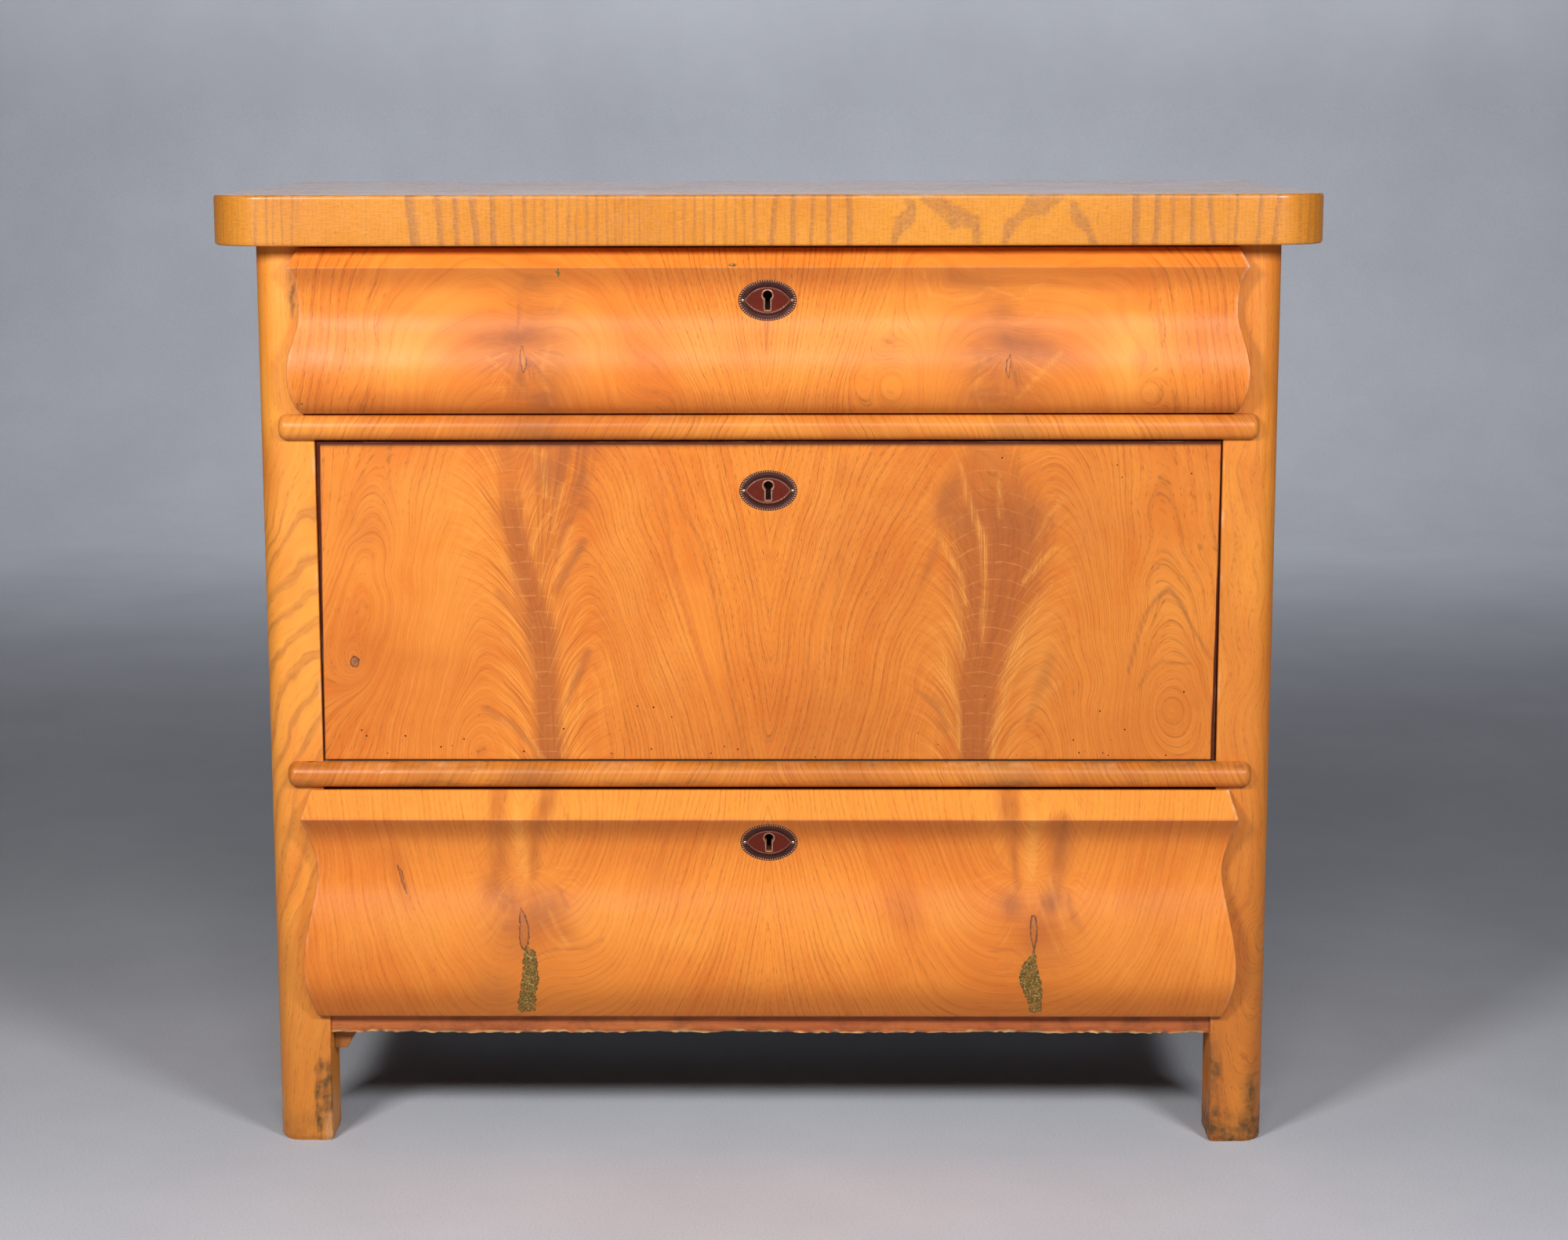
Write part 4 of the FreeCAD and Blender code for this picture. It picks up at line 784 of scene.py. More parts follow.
# Plume hearts: (x, z, half width).
HEARTS = {
    "mid_left": [(-240, 660, 7), (-238, 619, 9), (-231, 574, 9), (-220, 528, 10), (-211, 494, 11), (-209, 460, 10),
                 (-206, 426, 10), (-205, 372, 11)],
    "mid_left_b": [(-191, 668, 33), (-194, 640, 31), (-199, 610, 23), (-206, 572, 11), (-211, 532, 4)],
    "mid_right": [(199, 668, 16), (203, 630, 30), (211, 590, 42), (211, 549, 38), (208, 517, 30), (202, 483, 25),
                  (195, 449, 20), (193, 415, 17), (192, 372, 15)],
    "low_left": [(-251, 342, 8), (-251, 316, 8), (-254, 262, 8), (-243, 240, 8)],
    "low_left_b": [(-207, 342, 8), (-215, 316, 6), (-220, 280, 5), (-221, 262, 3)],
    "low_right": [(222, 342, 9), (225, 316, 7), (229, 280, 4), (232, 254, 3)],
    "low_right_b": [(272, 316, 8), (270, 271, 8), (262, 238, 7)],
}
# Smoke-dark stains: (x, z, half width, half height, turn, strength).
SMOKE = {
    "top": [(-210, 780, 24, 52, 0.0, 0.26), (-200, 728, 26, 34, 0.0, 0.30), (207, 780, 28, 52, 0.0, 0.24), (214, 728, 34, 34, 0.0, 0.28),
            (-226, 768, 42, 11, 0.06, 0.62), (-213, 815, 20, 14, 0.3, 0.30), (-203, 713, 17, 13, 0.0, 0.42),
            (-193, 791, 20, 9, 0.6, 0.28), (-226, 738, 9, 26, 0.0, 0.34), (-225, 790, 4, 22, 0.0, 0.35),
            (227, 762, 38, 15, -0.25, 0.58), (184, 817, 42, 12, -0.12, 0.30), (212, 790, 16, 16, 0.0, 0.42),
            (203, 714, 26, 13, 0.0, 0.40), (196, 752, 14, 22, 0.4, 0.30), (226, 732, 7, 22, 0.0, 0.30)],
    "mid": [(-203, 646, 16, 24, 0.0, 0.50), (-172, 636, 7, 20, -0.2, 0.42), (-171, 614, 8, 9, 0.0, 0.38),
            (-180, 660, 30, 8, 0.0, 0.30), (-226, 660, 26, 10, 0.0, 0.22), (-250, 598, 6, 22, 0.3, 0.20),
            (165, 618, 10, 26, -0.35, 0.42), (150, 560, 4, 26, -0.35, 0.30), (180, 600, 16, 16, 0.0, 0.26),
            (236, 600, 24, 24, 0.0, 0.22), (70, 640, 8, 10, 0.0, 0.16)],
    "low": [(-212, 232, 20, 20, 0.0, 0.46), (-236, 216, 22, 26, 0.0, 0.36), (-258, 157, 20, 20, 0.0, 0.22),
            (-196, 214, 20, 8, -0.5, 0.26), (-262, 250, 10, 18, 0.3, 0.25), (-206, 330, 10, 12, 0.0, 0.30),
            (227, 236, 11, 14, 0.2, 0.50), (264, 238, 10, 12, 0.0, 0.44), (258, 208, 22, 26, 0.0, 0.34),
            (276, 298, 10, 22, 0.0, 0.30), (222, 330, 12, 10, 0.0, 0.28), (284, 228, 4, 20, 0.5, 0.30)],
}
RUSTY = {
    "top": [(-226, 745, 60, 45, 0.0, 0.42), (215, 745, 70, 45, 0.0, 0.42), (-106, 735, 30, 24, 0.0, 0.28), (112, 752, 20, 18, 0.0, 0.24),
            (339, 746, 10, 16, 0.0, 0.35), (-410, 740, 30, 60, 0.0, 0.16), (410, 760, 30, 60, 0.0, 0.22)],
    "mid": [(-385, 470, 34, 44, 0.0, 0.26), (-372, 596, 20, 24, 0.0, 0.20), (-340, 466, 40, 14, 0.0, 0.20), (-212, 560, 40, 100, 0.0, 0.22),
            (200, 520, 62, 140, 0.0, 0.24), (110, 560, 60, 90, -0.4, 0.18), (372, 430, 40, 40, 0.0, 0.16), (60, 420, 50, 60, 0.0, 0.20)],
    "low": [(-225, 200, 60, 70, 0.0, 0.34), (245, 200, 60, 70, 0.0, 0.34), (-214, 216, 32, 26, 0.0, 0.55), (246, 214, 32, 26, 0.0, 0.55), (-345, 262, 10, 34, 0.3, 0.40), (-330, 230, 70, 60, 0.0, 0.16),
            (-100, 260, 20, 24, 0.0, 0.22), (128, 230, 14, 24, 0.2, 0.34), (360, 240, 40, 60, 0.0, 0.20), (-240, 150, 60, 20, 0.0, 0.22),
            (250, 150, 60, 24, 0.0, 0.24)],
}
# Feather barbs drawn singly: (path with half widths, strength; negative is light).
BARBS = {
    "mid": [([(-199, 530, 2), (-184, 556, 4), (-171, 577, 4)], 0.50), ([(-188, 426, 2), (-178, 452, 4), (-168, 474, 4)], 0.45),
            ([(-196, 560, 2), (-188, 590, 4), (-176, 612, 4)], 0.30), ([(-222, 487, 2), (-236, 514, 3), (-250, 530, 4)], 0.30),
            ([(-217, 380, 2), (-240, 406, 3), (-264, 421, 4)], 0.34), ([(-210, 372, 2), (-228, 396, 3), (-248, 410, 3)], -0.42),
            ([(-198, 540, 1.5), (-192, 566, 2.5), (-182, 590, 3)], -0.55), ([(-205, 620, 2), (-206, 660, 4)], -0.55),
            ([(-213, 640, 1.5), (-215, 668, 3)], -0.40), ([(-216, 450, 1.5), (-228, 470, 2.5), (-244, 486, 3)], -0.40),
            ([(-225, 520, 1.5), (-238, 548, 2.5), (-248, 562, 3)], -0.38), ([(-192, 410, 1.5), (-186, 440, 2.5), (-177, 462, 3)], -0.45),
            ([(-194, 376, 1.5), (-186, 400, 2.5), (-172, 424, 3)], -0.40), ([(-198, 586, 1.5), (-196, 610, 2.5), (-190, 628, 3)], -0.45),
            ([(176, 650, 1.5), (186, 610, 3), (198, 580, 4), (200, 540, 3), (198, 480, 2)], -0.62),
            ([(155, 588, 1.5), (166, 566, 3), (176, 548, 3), (182, 520, 2)], -0.55), ([(168, 536, 1.5), (176, 510, 3), (180, 470, 2)], -0.40),
            ([(160, 478, 1.5), (170, 448, 3), (176, 420, 2.5), (178, 384, 2)], -0.50), ([(208, 374, 2), (214, 410, 3), (224, 446, 4), (238, 480, 3)], -0.60),
            ([(214, 440, 2), (228, 478, 4), (248, 520, 4), (262, 540, 2)], -0.55), ([(236, 540, 2), (252, 560, 3), (266, 572, 2)], -0.45),
            ([(222, 392, 2), (244, 424, 3), (270, 446, 3)], -0.36), ([(258, 602, 1.5), (272, 620, 2)], -0.45), ([(213, 600, 1.5), (212, 640, 2)], -0.45),
            ([(334, 455, 1.2), (347, 507, 1.5), (360, 526, 2.0), (370, 534, 2.4), (379, 524, 1.8), (388, 505, 1.4), (410, 468, 1.1)], 0.50),
            ([(343, 440, 1.1), (352, 456, 1.3), (365, 465, 1.5), (391, 463, 1.1)], 0.42),
            ([(-101, 643, 1.0), (-86, 542, 1.1), (-69, 486, 1.1), (-50, 433, 1.1), (-34, 384, 1.0)], 0.26),
            ([(-93, 643, 1.0), (-80, 607, 1.1), (-63, 581, 1.2), (-53, 542, 1.2), (-45, 499, 1.2), (-37, 453, 1.2), (-29, 407, 1.1), (-22, 376, 1.0)], 0.32),
            ([(31, 445, 1.0), (43, 513, 1.1), (58, 558, 1.2), (66, 565, 1.2)], 0.26), ([(38, 446, 1.0), (52, 472, 1.1), (60, 515, 1.2), (69, 562, 1.2)], 0.24),
            ([(138, 438, 2), (156, 424, 4), (166, 402, 3)], 0.34), ([(240, 404, 2), (252, 440, 6), (262, 470, 5)], 0.26)],
    "top": [([(-196, 706, 1.5), (-206, 738, 2.5), (-198, 760, 2)], -0.40), ([(-222, 720, 1.5), (-240, 738, 2), (-254, 750, 2)], -0.30),
            ([(-194, 790, 1.5), (-188, 800, 2)], -0.35), ([(226, 712, 1.5), (250, 738, 2.5), (266, 754, 2)], -0.45),
            ([(188, 720, 1.5), (196, 748, 2.5)], -0.40), ([(141, 828, 1.2), (147, 806, 1.4), (170, 801, 1.4), (190, 804, 1.4), (200, 812, 1.4), (218, 806, 1.4)], -0.45),
            ([(218, 806, 1.2), (230, 801, 1.4), (240, 813, 1.4), (250, 816, 1.2)], -0.40), ([(196, 700, 1.5), (190, 716, 2), (216, 716, 1.5)], -0.35),
            ([(222, 778, 1.2), (236, 781, 1.4), (250, 792, 1.4)], -0.30), ([(-228, 812, 0.9), (-226, 790, 0.9), (-227, 770, 0.9)], 0.55)],
    "low": [([(-236, 342, 2), (-232, 300, 5), (-228, 262, 4)], -0.50), ([(-206, 232, 1.5), (-198, 214, 2), (-188, 200, 2)], -0.50),
            ([(-214, 222, 1.5), (-204, 206, 2), (-192, 196, 2)], -0.35), ([(-252, 244, 1.5), (-262, 226, 2), (-272, 216, 2)], -0.35),
            ([(-242, 236, 1.5), (-256, 214, 2), (-268, 204, 2)], -0.30), ([(-218, 190, 1.2), (-200, 197, 1.4), (-172, 197, 1.4), (-156, 206, 1.2)], 0.35),
            ([(-216, 188, 1.2), (-204, 194, 1.3)], -0.40), ([(-196, 250, 2), (-190, 236, 3)], 0.45),
            ([(243, 342, 2), (246, 310, 5), (244, 262, 4)], -0.50), ([(262, 262, 1.5), (268, 240, 2), (276, 216, 2)], -0.40),
            ([(252, 240, 1.5), (262, 214, 2), (270, 196, 2)], -0.35), ([(206, 194, 1.2), (226, 197, 1.3), (236, 190, 1.2)], 0.32),
            ([(212, 172, 1.2), (228, 176, 1.3)], -0.35), ([(216, 186, 1.2), (236, 184, 1.3)], -0.35), ([(280, 246, 2), (284, 222, 3)], 0.40)],
}


def sides(x, z, front, make_field):
    """Left and right of the match line are separate sheets."""
    out = np.zeros(np.shape(x))
    left = np.asarray(x) < 0
    for half, pick in (("left", left), ("right", ~left)):
        if pick.any():
            out[pick] = make_field(half, x[pick], z[pick])
    return out


# Lighter, livelier patches, on the bellies of the top and bottom fronts partly painted sheen: (x, z, half width, half
# height, strength).
GLOWS = {
    "top": [(-332, 752, 46, 30, 0.75), (-172, 762, 32, 30, 0.65), (331, 752, 36, 36, 0.80), (122, 768, 44, 24, 0.55), (-60, 756, 30, 24, 0.40),
            (40, 752, 30, 24, 0.40), (-395, 752, 16, 24, 0.35), (405, 745, 16, 22, 0.35), (-300, 800, 50, 14, 0.30), (290, 800, 40, 14, 0.30)],
    "mid": [(-310, 620, 60, 40, 0.35), (-290, 520, 40, 60, 0.30), (-130, 560, 24, 90, 0.35), (-95, 470, 24, 60, 0.30), (60, 600, 30, 60, 0.25),
            (290, 600, 40, 50, 0.25), (-214, 560, 10, 60, 0.30), (250, 470, 22, 50, 0.45), (166, 450, 14, 50, 0.40), (372, 520, 22, 50, 0.30)],
    "low": [(-330, 215, 70, 24, 0.40), (-150, 220, 60, 28, 0.45), (-90, 208, 50, 20, 0.35), (80, 210, 60, 22, 0.35), (165, 230, 40, 30, 0.45),
            (330, 215, 50, 30, 0.40), (400, 200, 24, 30, 0.25), (-395, 205, 26, 30, 0.25), (-232, 290, 9, 40, 0.45), (246, 290, 9, 40, 0.45)],
}


def front_grain(front, x, z):
    x, z = np.asarray(x, float), np.asarray(z, float)
    shift = 1.3 * fbm(x / 22.0, z / 80.0, 3.0, 11)
    phi = sides(x, z, front, lambda half, a, b: plate_field(GUIDES["%s_%s" % (front, half)], a, b, 12.0 if front == "top" else 5.0))
    slope = np.hypot(*[np.gradient(phi, axis=k) / np.maximum(np.hypot(np.gradient(x, axis=k), np.gradient(z, axis=k)), 0.05) for k in (0, 1)])
    phi = phi + np.clip(slope, 0.02, 0.30) * shift + np.where(x < 0, 0.37, 0.0)
    f = {"phi": phi, "psi": z + 0.55 * np.abs(x)}
    brush, burst = np.zeros(x.shape), np.zeros(x.shape)
    core, barb, step, quill, vane, ray = np.zeros(x.shape), np.zeros(x.shape), np.zeros(x.shape), z.copy(), np.zeros(x.shape), x.copy()
    for half in ("left", "right", "left_b", "right_b"):
        heart = HEARTS.get("%s_%s" % (front, half))
        if not heart:
            continue
        own = (x < 0) if half.startswith("left") else (x >= 0)
        hz = [h[1] for h in heart][::-1]
        ax = np.interp(z, hz, [h[0] for h in heart][::-1])
        hw = np.interp(z, hz, [h[2] for h in heart][::-1])
        if (front, half) == ("mid", "left_b"):
            # the left plume opens upwards into a brushed fan
            fan = 0.85 * smooth(1.25, 0.55, spine(x, z, heart) + 0.25 * fbm(x / 6.0, z / 30.0, 5.0, 23)) * own
            core = core * np.where(own, 1 - 0.60 * smooth(596, 640, z), 1.0)
            brush = np.where(fan > core, 1.0, brush)
            ray = np.where(fan > core, 10.0 * (x - ax) / np.maximum(hw, 6.0), ray)
            core = np.maximum(core, fan)
            continue
        wide = 1.30 if (front, half) == ("mid", "left") else 1.05
        d = spine(x, z, heart) / wide + ((0.20 + 0.22 * smooth(540, 610, z)) if front == "mid" else 0.55) * fbm(x / 5.0, z / 30.0, 5.0, 23)
        core = np.maximum(core, (smooth(1.45, 0.55, d) if front == "mid" else smooth(1.9, 0.2, d)) * own)
        rise, bend, arch, reach = {"mid": (96.0, 34.0, 0.003, 70.0), "low": (60.0, 22.0, 0.004, 30.0)}[front]
        off = np.abs(x - ax) - 0.55 * hw
        out = np.clip(off, 0, reach)
        reached = smooth(reach, 0.08 * reach, off)
        near = own & (reached > barb)
        lean = 1.0 if front != "low" else -1.0
        level = lean * z - rise * (1 - np.exp(-out / bend)) + arch * out ** 2 + 3.0 * fbm(x / 20.0, z / 40.0, 2.0, 24)
        quill = np.where(near, level + 400.0 * np.sign(x - ax), quill)
        vane = np.where(near, out, vane)
        ray = np.where(own & (np.abs(x - ax) < 2.2 * hw + 8), 10.0 * (x - ax) / np.maximum(hw, 6.0), ray)
        barb = np.where(near, reached * smooth(-0.25 * hw, 0.25 * hw, off), barb)
        if front == "mid":
            bow = 0.0050 if half == "left" else 0.0092
            gap = 12.0 + 0.026 * (z - 400.0)
            up = z + bow * (x - ax) ** 2 + 1.2 * fbm(x / 22.0, z / 30.0, 1.0, 7)
            step = np.where(own, np.log(np.maximum(12.0 + 0.026 * (up - 400.0), 4.0)) / 0.026, step)
    if front == "mid":
        core = core * np.where(x < 0, 0.95, 0.92 - 0.42 * smooth(585, 650, z))
        barb = barb * np.where(x < 0, 0.95 - 0.15 * smooth(600, 660, z), 0.85 - 0.45 * smooth(540, 640, z))
        lines = 0.70 + 0.20 * np.exp(-(x / 150.0) ** 2)
        lines = lines * (1 - 0.88 * smooth(0.02, 0.45, barb)) * (1 - 0.55 * core)
        lines = lines * (1 - 0.55 * blob(x, z, -330, 540, 80, 110))
        lines = lines * (1 - 0.80 * blob(x, z, -64, 512, 14, 118, 0.238)) * (1 - 0.75 * blob(x, z, 50, 508, 9, 56, -0.25))
        phi += 3.2 * blob(x, z, -385, 465, 15, 19) + 1.2 * blob(x, z, -330, 470, 16, 12)
    elif front == "top":
        lines = 0.92 * np.exp(-(x / 120.0) ** 4) + 0.50 * smooth(325, 365, np.abs(x)) + 0.22
        # strokes burst downwards from the two slit knots
        for cx, cz in ((-223, 756), (218, 752)):
            ang = np.arctan2(x - cx, cz + 4 - z)
            far = np.hypot(x - cx, z - cz)
            here = smooth(62, 12, far) * smooth(2.2, 1.0, np.abs(ang)) * smooth(2.0, 10.0, far)
            quill = np.where(here > barb, 46.0 * ang + 400.0 + 6.0 * fbm(x / 14.0, z / 14.0, 1.0, 25), quill)
            vane = np.where(here > barb, far, vane)
            barb = np.maximum(barb, here)
            burst = np.maximum(burst, 0.88 * here * smooth(0.0, 0.5, noise(ang * 8.0, far / 38.0, cx, 26)))
        barb = 0.80 * barb
        lines = lines * (1 - 0.80 * barb) * (1 - 0.60 * blob(x, z, -107, 728, 42, 36)) * (1 - 0.45 * blob(x, z, 112, 728, 34, 34))
        phi += 1.3 * blob(x, z, -107, 724, 24, 22) + 1.6 * blob(x, z, 112, 724, 18, 18) + 2.2 * blob(x, z, 343, 716, 13, 16)
    else:
        barb = 0.35 * barb * smooth(150, 215, z)
        # strokes burst down and outwards from above the two knots
        for cx, cz in ((-231, 268), (245, 266)):
            ang = np.arctan2(x - cx, cz - z)
            far = np.hypot(x - cx, z - cz)
            here = 0.62 * smooth(74, 16, far) * smooth(2.1, 1.3, np.abs(ang)) * smooth(0.12, 0.45, np.abs(ang)) * smooth(4.0, 14.0, far)
            quill = np.where(here > barb, 52.0 * ang + 400.0 * np.sign(x - cx) + 0.25 * far * np.sign(ang) + 6.0 * fbm(x / 14.0, z / 14.0, 1.0, 25), quill)
            vane = np.where(here > barb, far, vane)
            barb = np.maximum(barb, here)
        lines = (0.50 + 0.26 * np.exp(-(x / 130.0) ** 2)) * (1 - 0.80 * smooth(0.02, 0.5, barb))
        lines = lines * (1 - 0.55 * blob(x, z, -228, 205, 80, 70)) * (1 - 0.55 * blob(x, z, 247, 205, 80, 70))
        core = core * (0.62 + 0.35 * fbm(x / 5.0, z / 24.0, 4.0, 41))
    smoke = burst
    for cx, cz, rx, rz, turn, s in SMOKE[front]:
        ragged = 1 + 0.45 * fbm(x / 9.0, z / 12.0, 2.0, 31)
        smoke = np.maximum(smoke, min(0.92, 1.5 * s) * np.clip(blob(x, z, cx, cz, rx, rz, turn) * ragged, 0, 1))
    rust = np.zeros(x.shape)
    for cx, cz, rx, rz, turn, s in RUSTY[front]:
        rust = np.maximum(rust, 1.35 * s * blob(x, z, cx, cz, rx * 1.2, rz * 1.2, turn))
    glow = np.zeros(x.shape)
    for cx, cz, rx, rz, s in GLOWS[front]:
        glow = np.maximum(glow, s * blob(x, z, cx, cz, rx, rz) * (1 + 0.35 * fbm(x / 30.0, z / 30.0, 3.0, 33)))
    light = np.zeros(x.shape)
    for path, s in BARBS[front]:
        d = spine(x, z, path) + 0.25 * fbm(x / 4.0, z / 14.0, 2.0, 34)
        m = smooth(1.7, 0.3, d)
        if s > 0:
            smoke = np.maximum(smoke, 1.2 * s * m)
        else:
            light = np.maximum(light, -s * m * (1.05 if front == "mid" else 0.9))
    light = np.clip(light, 0, 1)
    glow = glow * (1 - 0.7 * core)
    core = core * (1 - 0.45 * light)
    smoke = smoke * (1 - 0.6 * light)
    tone = np.zeros(x.shape)
    if front == "top":
        # painted light: the upward bevel above the arris is lightened; painted shade: the cove under the arris and the
        # lower turn are darkened and reddened
        glow = np.maximum(glow, 0.10 * (z > 831.5))
        tone = 0.20 * smooth(800, 826, z) * (z < 831) + 0.18 * smooth(728, 700, z)
        rust = np.maximum(rust, 0.30 * smooth(800, 824, z) * (z < 831) + 0.26 * smooth(728, 704, z))
    elif front == "low":
        # painted light on the upward bevel; painted shade, darker and redder, in the cove under the arris and on the
        # lower turn
        glow = np.maximum(glow, 0.55 * (z > 321) * (1 - 0.8 * core))
        tone = 0.30 * smooth(288, 316, z) * (z < 320.5) + 0.24 * smooth(172, 130, z)
        rust = np.maximum(rust, 0.42 * smooth(285, 312, z) * (z < 320.5) + 0.40 * smooth(172, 136, z))
    else:
        # a slight overall darkening, with painted shade towards the right and the lower middle
        tone = 0.08 + 0.10 * smooth(-100, 300, x) + 0.08 * smooth(480, 380, z) * np.exp(-(x / 160.0) ** 2)
        # painted shadow under the upper bead: the top 8 mm of the middle front darkened nearly to black
        tone = np.maximum(tone, 0.955 * smooth(662.5, 670.2, z) ** 1.3)
    f.update(lines=np.clip(lines, 0.05, 1), core=core, barb=barb * (1 - 0.55 * core), quill=quill, vane=vane, ray=ray, step=step,
             dark=smoke, rust=np.clip(rust, 0, 1), glow=np.clip(glow, 0, 1), light=light, tone=tone, brush=brush)
    return f


# ------------------------------------------------------------------ shaped fronts
TOP_OGEE = [(-21, 830.5), (-17.8, 823), (-14.4, 813), (-12, 803), (-11, 793), (-11.4, 784.5), (-13.2, 776),
            (-16.2, 767), (-19.6, 757.5), (-22.3, 748), (-23.8, 738.5), (-24, 730), (-22.8, 720.5), (-19.6, 711),
            (-14.8, 703), (-9, 698)]
TOP_END = [(434.5, 830.5), (430.5, 823), (427.6, 813), (426.2, 803), (425.8, 793), (426.4, 784.5), (428, 776),
           (430.6, 767), (433.4, 757.5), (435.4, 748), (436.4, 738.5), (436.4, 730), (435.4, 720.5), (433, 711),
           (429.8, 703), (427, 698)]
LOW_OGEE = [(-25, 320), (-21.2, 312.5), (-17, 303), (-13.6, 292.5), (-11.2, 282), (-10.2, 271.5), (-10.8, 261),
            (-12.8, 250.5), (-15.8, 240), (-18.8, 229.5), (-21.4, 218.5), (-23.2, 207.5), (-24, 196), (-23.6, 184),
            (-22, 171.5), (-19, 159), (-15, 147), (-10.8, 136), (-7, 126)]
LOW_END = [(435.5, 320), (431.5, 309), (427.6, 295), (424.2, 282), (422.8, 271), (423.4, 259), (425.4, 246),
           (428, 233), (430.8, 219), (433.2, 206), (435.2, 193), (436.4, 180), (436.4, 167), (434.8, 154),
           (431.6, 141), (428.4, 131), (427, 126)]
RISE = 0.6          # veneer proud of the core below it
BACK = -1.6         # back of the facing, inside the solid lip behind it


def falling(points):
    return natural([b for a, b in reversed(points)], [a for a, b in reversed(points)])


class Facing:
    """Section and outline of one moulded facing."""

    def __init__(self, ogee, ends, crest):
        self.depth, self.half = falling(ogee), falling(ends)
        self.top, self.arris, self.low = crest[2], ogee[0][1], ogee[-1][1]
        self.crest = crest
        ya, wa = ogee[0][0], ends[0][0]
        yb, wb = ogee[-1][0], ends[-1][0]
        run = [(BACK + (crest[0] - BACK) * t, self.top, crest[1]) for t in np.linspace(0, 1, 4)[:-1]]
        c1 = len(run)
        run += [(crest[0] + (ya - crest[0]) * t, self.top + (self.arris - self.top) * t, crest[1] + (wa - crest[1]) * t)
                for t in np.linspace(0, 1, 13)[:-1]]
        c2 = len(run)
        run += [(float(self.depth(z)), z, float(self.half(z))) for z in np.linspace(self.arris, self.low, 92)]
        c3 = len(run) - 1
        run += [(yb + (BACK - yb) * t, self.low, wb) for t in np.linspace(0, 1, 4)[1:]]
        run = np.array(run)
        self.rows = self.soften(run, {c1: 0.8, c2: 0.5, c3: 1.2})
        d = np.gradient(self.rows[:, :2], axis=0)
        d /= np.linalg.norm(d, axis=1)[:, None] + 1e-12
        lift = np.stack([d[:, 1], -d[:, 0]], -1) * RISE
        lift[0, 0] = lift[-1, 0] = 0
        self.rows[:, :2] += lift
        self.rows[:, 2] += RISE

    @staticmethod
    def soften(run, corners):
        out = []
        for i, p in enumerate(run):
            r = corners.get(i)
            if not r:
                out.append(p)
                continue
            a, b = run[i - 1] - p, run[i + 1] - p
            a = p + a * min(0.95, r / np.linalg.norm(a[:2]))
            b = p + b * min(0.95, r / np.linalg.norm(b[:2]))
            for t in np.linspace(0, 1, 6):
                out.append((1 - t) ** 2 * a + 2 * t * (1 - t) * p + t * t * b)
        return np.array(out)

    def surface(self, z):
        """Depth of the veneer's face at a height on the ogee."""
        return self.depth(z) - RISE

    def grid(self, cells=330, ease=1.5):
        rows = self.rows
        R = len(rows)
        arc = np.linspace(0, math.pi / 2, 6)[1:]
        flat = np.linspace(0, 1, 5)[1:]
        C = cells + 2 * (len(arc) + len(flat))
        g = np.zeros((R, C, 3))
        edge = np.zeros((R, C))
        n = len(arc) + len(flat)
        for i, (y, z, w) in enumerate(rows):
            r = min(ease, max(0.0, (BACK - y) * 0.45))
            g[i, n:n + cells, 0] = np.linspace(-(w - r), w - r, cells)
            g[i, n:n + cells, 1] = y
            ex = np.concatenate([w - r + r * np.sin(arc), np.full(len(flat), w)])
            ey = np.concatenate([y + r * (1 - np.cos(arc)), (y + r) + (BACK - y - r) * flat])
            g[i, n + cells:, 0], g[i, n + cells:, 1] = ex, ey
            g[i, :n, 0], g[i, :n, 1] = -ex[::-1], ey[::-1]
            g[i, :, 2] = z
            edge[i] = w - np.abs(g[i, :, 0])
        return g, edge


FACINGS = {"top": Facing(TOP_OGEE, TOP_END, (-4, 427, 847)), "low": Facing(LOW_OGEE, LOW_END, (-4, 428.5, 343.5))}
KEYS = {"top": 800.6, "mid": 625.3, "low": 297.0}
BODY = {"top": "top_drawer", "mid": "middle_drawer", "low": "bottom_drawer"}


def shaped_front(tag, material):
    f = FACINGS[tag]
    g, edge = f.grid()
    back = g.copy()
    back[..., 1] = BACK
    cx = 0.25 * (g[:-1, :-1] + g[1:, :-1] + g[:-1, 1:] + g[1:, 1:])
    skip = (np.abs(cx[..., 0]) < 5.4) & (np.abs(cx[..., 2] - KEYS[tag]) < 10.6) & (cx[..., 1] < -4)
    verts, faces = shell(g, back, skip)
    x, z = g[..., 0], g[..., 2]
    attrs = front_grain(tag, x, z)
    # rubbed arrises: along the returned ends, and here and there on the long arris
    rub = smooth(2.6, 0.2, edge) * smooth(BACK - 1.0, BACK - 4.0, g[..., 1])
    rub = rub * np.clip(0.42 + 0.9 * fbm(z / 16.0, x * 0 + np.sign(x), 4.0, 51), 0, 1) * (0.85 if tag == "top" else 0.40)
    lip = np.exp(-((z - f.arris) / 1.4) ** 2) * (g[..., 1] < -15)
    attrs["wear"] = np.clip(rub + 0.05 * lip * (fbm(x / 18.0, 3.0, 1.0, 77) > 0.12), 0, 1)
    # pale line along the right end of the bottom front's bevel: partly rubbed edge, partly painted highlight
    if tag == "low":
        attrs["wear"] = np.maximum(attrs["wear"], 0.95 * smooth(2.4, 0.3, edge) * (z > f.arris + 0.6) * (x > 0))
    low = smooth(f.low + 7, f.low, z)
    attrs["grime"] = np.clip(0.25 * low + 0.5 * smooth(1.5, 4.0, edge) * 0, 0, 1)
    g[..., 1] += Y0
    back[..., 1] += Y0
    verts[:, 1] += Y0
    attrs = {k: np.concatenate([v.ravel(), v.ravel()]) for k, v in attrs.items()}
    return make(BODY[tag] + "_veneer", verts, faces, BODY[tag], attrs, material, sharp=40, merge=0.004)


